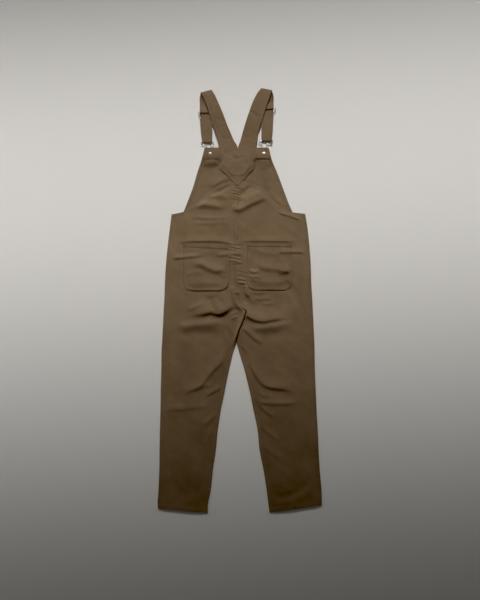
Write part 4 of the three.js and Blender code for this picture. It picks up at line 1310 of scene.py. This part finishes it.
def stitch_mesh(name, lines, bars=()):
    """One mesh of all the stitches along several lines, and of short bars of one stitch each."""
    skins = [stitches_along(line) for line in lines]
    skins = np.concatenate(skins + [stitches_along(bar, 2.2, 0.2) for bar in bars])
    points = skins.shape[1]
    index = np.arange(points).reshape(-1, SIDES_OF_THREAD)
    one = [*ring_faces(index, turned=True), index[0], index[-1][::-1]]
    faces = [face + points * n for n in range(len(skins)) for face in one]
    dress(make_mesh(name, skins.reshape(-1, 3), faces), THREAD, "twill")
    print(name, "has", len(skins), "stitches")


# %% Stitches on the back panels
def on_back(side, x, y):
    """Points on the upper face of a back panel."""
    return grid_at(x, y, back_top(side, x, y))


def back_stitch_lines(side):
    """The rows of stitches on a back panel."""
    way = SIDES[side]
    y = np.arange(18, SIDE_CORNER_Y - 12, 2.0)
    lines = [on_back(side, leg_edges(side, y)[0] + way * SIDE_ROW, y)]
    low, high = sorted(float(x) for x in leg_edges(side, LEG_HEM))
    x = np.arange(low + 4, high - 4, 2.0)
    lines.append(on_back(side, x, along(HEM, "x", "y", x) + HEM_ROW))
    ends = sorted((float(leg_edges(side, SIDE_CORNER_Y - 5)[0]) + way * 3, way * -24.0))
    x = np.arange(*ends, 2.0)
    lines += [on_back(side, x, along(BACK_TOP, "x", "y", x) - row) for row in TOP_ROWS]
    y = np.arange(CROTCH_Y + 16, 1146, 2.0)
    rows = CENTRE_ROWS if side == "left" else CENTRE_ROWS[:1]
    return lines + [on_back(side, leg_edges(side, y)[1] - way * row, y) for row in rows]


for side in SIDES:
    stitch_mesh(f"stitches_back_{side}", back_stitch_lines(side))

# %% Stitches on the pockets
def on_pocket(side, x, y):
    """Points on the upper face of a pocket."""
    return grid_at(x, y, sum(pocket_lie(side, x, y)))


def pocket_outline(pocket, inside):
    """The sewn edge of a pocket, moved inwards."""
    left, right = pocket["left"] + inside, pocket["right"] - inside
    low, corner = pocket["bottom"] + inside, pocket["corner"] - inside
    turn = np.radians(np.linspace(0, 90, 16))
    x = [left, left, *(left + corner - corner * np.cos(turn)),
         *(right - corner + corner * np.sin(turn)), right]
    y = [pocket["top_left"] - 3, low + corner + 2, *(low + corner - corner * np.sin(turn)),
         *(low + corner - corner * np.cos(turn)), pocket["top_right"] - 3]
    length = run_along(np.stack([x, y], 1))
    run = np.arange(0, length[-1], 1.5)
    return np.interp(run, length, x), np.interp(run, length, y)


for side, pocket in POCKETS.items():
    left, right = pocket["left"], pocket["right"]
    lines = [on_pocket(side, *pocket_outline(pocket, inside)) for inside in POCKET_ROWS]
    x = np.arange(left + 3, right - 3, 2.0)
    lines += [on_pocket(side, x, pocket_top(pocket, x) - down) for down in POCKET_TOP_ROWS]
    bars = []
    for middle in (left + 5.2, right - 5.2):
        x, top = middle + np.array([-1.3, 0, 1.3]), pocket_top(pocket, middle)
        bars += [on_pocket(side, x, np.full(3, top - down)) for down in np.arange(1.6, 12, 0.8)]
    stitch_mesh(f"stitches_pocket_{side}", lines, bars)


# %% Stitches on the bib and the yoke
def on_bib(x, y, above=0.0):
    """Points on the bib's inside, or on the band above it."""
    return grid_at(x, y, bib_top(x, y) + above)


def on_yoke(x, y):
    """Points on the yoke."""
    return grid_at(x, y, under_yoke(x, y) + yoke_thick(x, y))


ON_BAND = BAND_THICK - 0.05  # so that the thread sinks into the band's furrows
y = np.arange(1060, BAND_LOW - 1, 2.0)
left, right = edges(BIB, y)
lines = [on_bib(left + 9, y), on_bib(right - 9, y)]
x = np.arange(-112, 105, 2.0)
for down in (3.0, BIB_HEM - 2.4):
    lines.append(on_bib(x, np.full(x.shape, BIB_TOP_Y - down), ON_BAND))
stitch_mesh("stitches_bib", lines)

y = np.arange(1155, 1264, 1.5)
inwards = 3.0 * np.where(y < YOKE_BEND_Y, 1.35, 1.0)
left, right = edges(YOKE, y)
x = np.arange(-46, 46, 1.5)
lines = [on_yoke(left + inwards, y), on_yoke(right - inwards, y)]
stitch_mesh("stitches_yoke", lines + [on_yoke(x, along(ROUND_LINE, "x", "y", x))])


# %% Stitches on the straps
def strap_stitch_lines(skin, bar_y):
    """Rows 3 and 9 mm inside each edge of a strap, on its way up and on its doubled end."""
    columns = skin.shape[1] // 2
    lines = []
    for column in (4, 8, columns - 9, columns - 5):
        faces = np.stack([skin[:, column], skin[:, -1 - column]])
        upper = np.take_along_axis(faces, faces[:, :, 2].argmax(0)[None, :, None], 0)[0]
        top = upper[:, 1].argmax()
        rising, back = upper[:top], upper[top:]
        lines.append(rising[(rising[:, 1] > 1282) & (rising[:, 1] < rising[-1, 1] - 8)])
        doubled = back[back[:, 1].argmin():]
        lines.append(doubled[doubled[:, 1] > bar_y + 6][:-2])
    return lines


for side, skin in STRAP_SKIN.items():
    stitch_mesh(f"stitches_strap_{side}", strap_stitch_lines(skin, STRAPS[side]["bar"][0]))

# %% [markdown]
# ## Floor, light and camera
#
# The garment was photographed from straight above, with the light at the shoulders, so the cloth
# darkens towards the hems and each fold has a bright upper side. A wide light beyond the shoulders
# gives that. Its spread is narrow, as with a grid in front of it, so its pool of light fades down
# the legs. A large weak panel overhead and a dim world fill the shadows, and a small one at the
# side puts a highlight on the metal.
#
# The photograph's shadows are deep and brown, as when a picture's black point has been raised, so
# the view's black level is raised a little too.

# %% The floor
floor_mesh = bpy.data.meshes.new("floor")
floor_mesh.from_pydata([(-20, -20, 0), (20, -20, 0), (20, 20, 0), (-20, 20, 0)], [], [(0, 1, 2, 3)])
floor = add_object("floor", floor_mesh)
floor.location.z = -0.0004  # just below the fronts, so that no two faces lie in one plane
pale = new_material("pale floor", {"Base Color": (0.70, 0.69, 0.67, 1), "Roughness": 0.9})[0]
floor.data.materials.append(pale)


# %% The lights
def soft_light(name, place, aim, size, power, colour, spread=180):
    """A rectangular studio light that faces a point. spread is how wide it shines, in degrees."""
    light = bpy.data.lights.new(name, "AREA")
    light.shape, (light.size, light.size_y) = "RECTANGLE", size
    light.energy, light.color, light.spread = power, colour, math.radians(spread)
    holder = add_object(name, light)
    holder.location = place
    way = Vector(aim) - holder.location
    holder.rotation_euler = way.to_track_quat("-Z", "Y").to_euler()


WARM = (1.0, 0.985, 0.96)
soft_light("shoulder_light", (-0.35, 4.9, 3.2), (0, 0.385, 0), (3.8, 0.5), 13.2, WARM, 14.8)
soft_light("side_panel", (-2.6, 0.9, 1.3), (0, 0.6, 0), (1.4, 1.0), 4, (1.0, 0.98, 0.95))
soft_light("overhead_panel", (0.0, 1.1, 6.6), (0, 0.55, 0), (6.0, 6.0), 14, (1.0, 1.0, 1.0))

# %% The world and the view
BLACK_LEVEL = 0.0175
world = bpy.data.worlds.new("studio")
bpy.context.scene.world = world
world.use_nodes = True
background = world.node_tree.nodes["Background"]
background.inputs["Color"].default_value = (1.0, 0.96, 0.90, 1)
background.inputs["Strength"].default_value = 0.08
view = bpy.context.scene.view_settings
view.view_transform, view.use_curve_mapping = "Standard", True
view.curve_mapping.black_level = (BLACK_LEVEL,) * 3
view.curve_mapping.update()
print("black level:", BLACK_LEVEL)

# %% The camera
VIEW_HEIGHT = 2.1  # metres
CAMERA_UP = 6.0
camera_data = bpy.data.cameras.new("camera")
camera_data.lens = camera_data.sensor_width * CAMERA_UP / VIEW_HEIGHT
camera_data.clip_end = 50
camera = add_object("camera", camera_data)
camera.location = (0.001, 0.001, CAMERA_UP)
bpy.context.scene.camera = camera
print("the camera sees", VIEW_HEIGHT, "m from top to bottom")
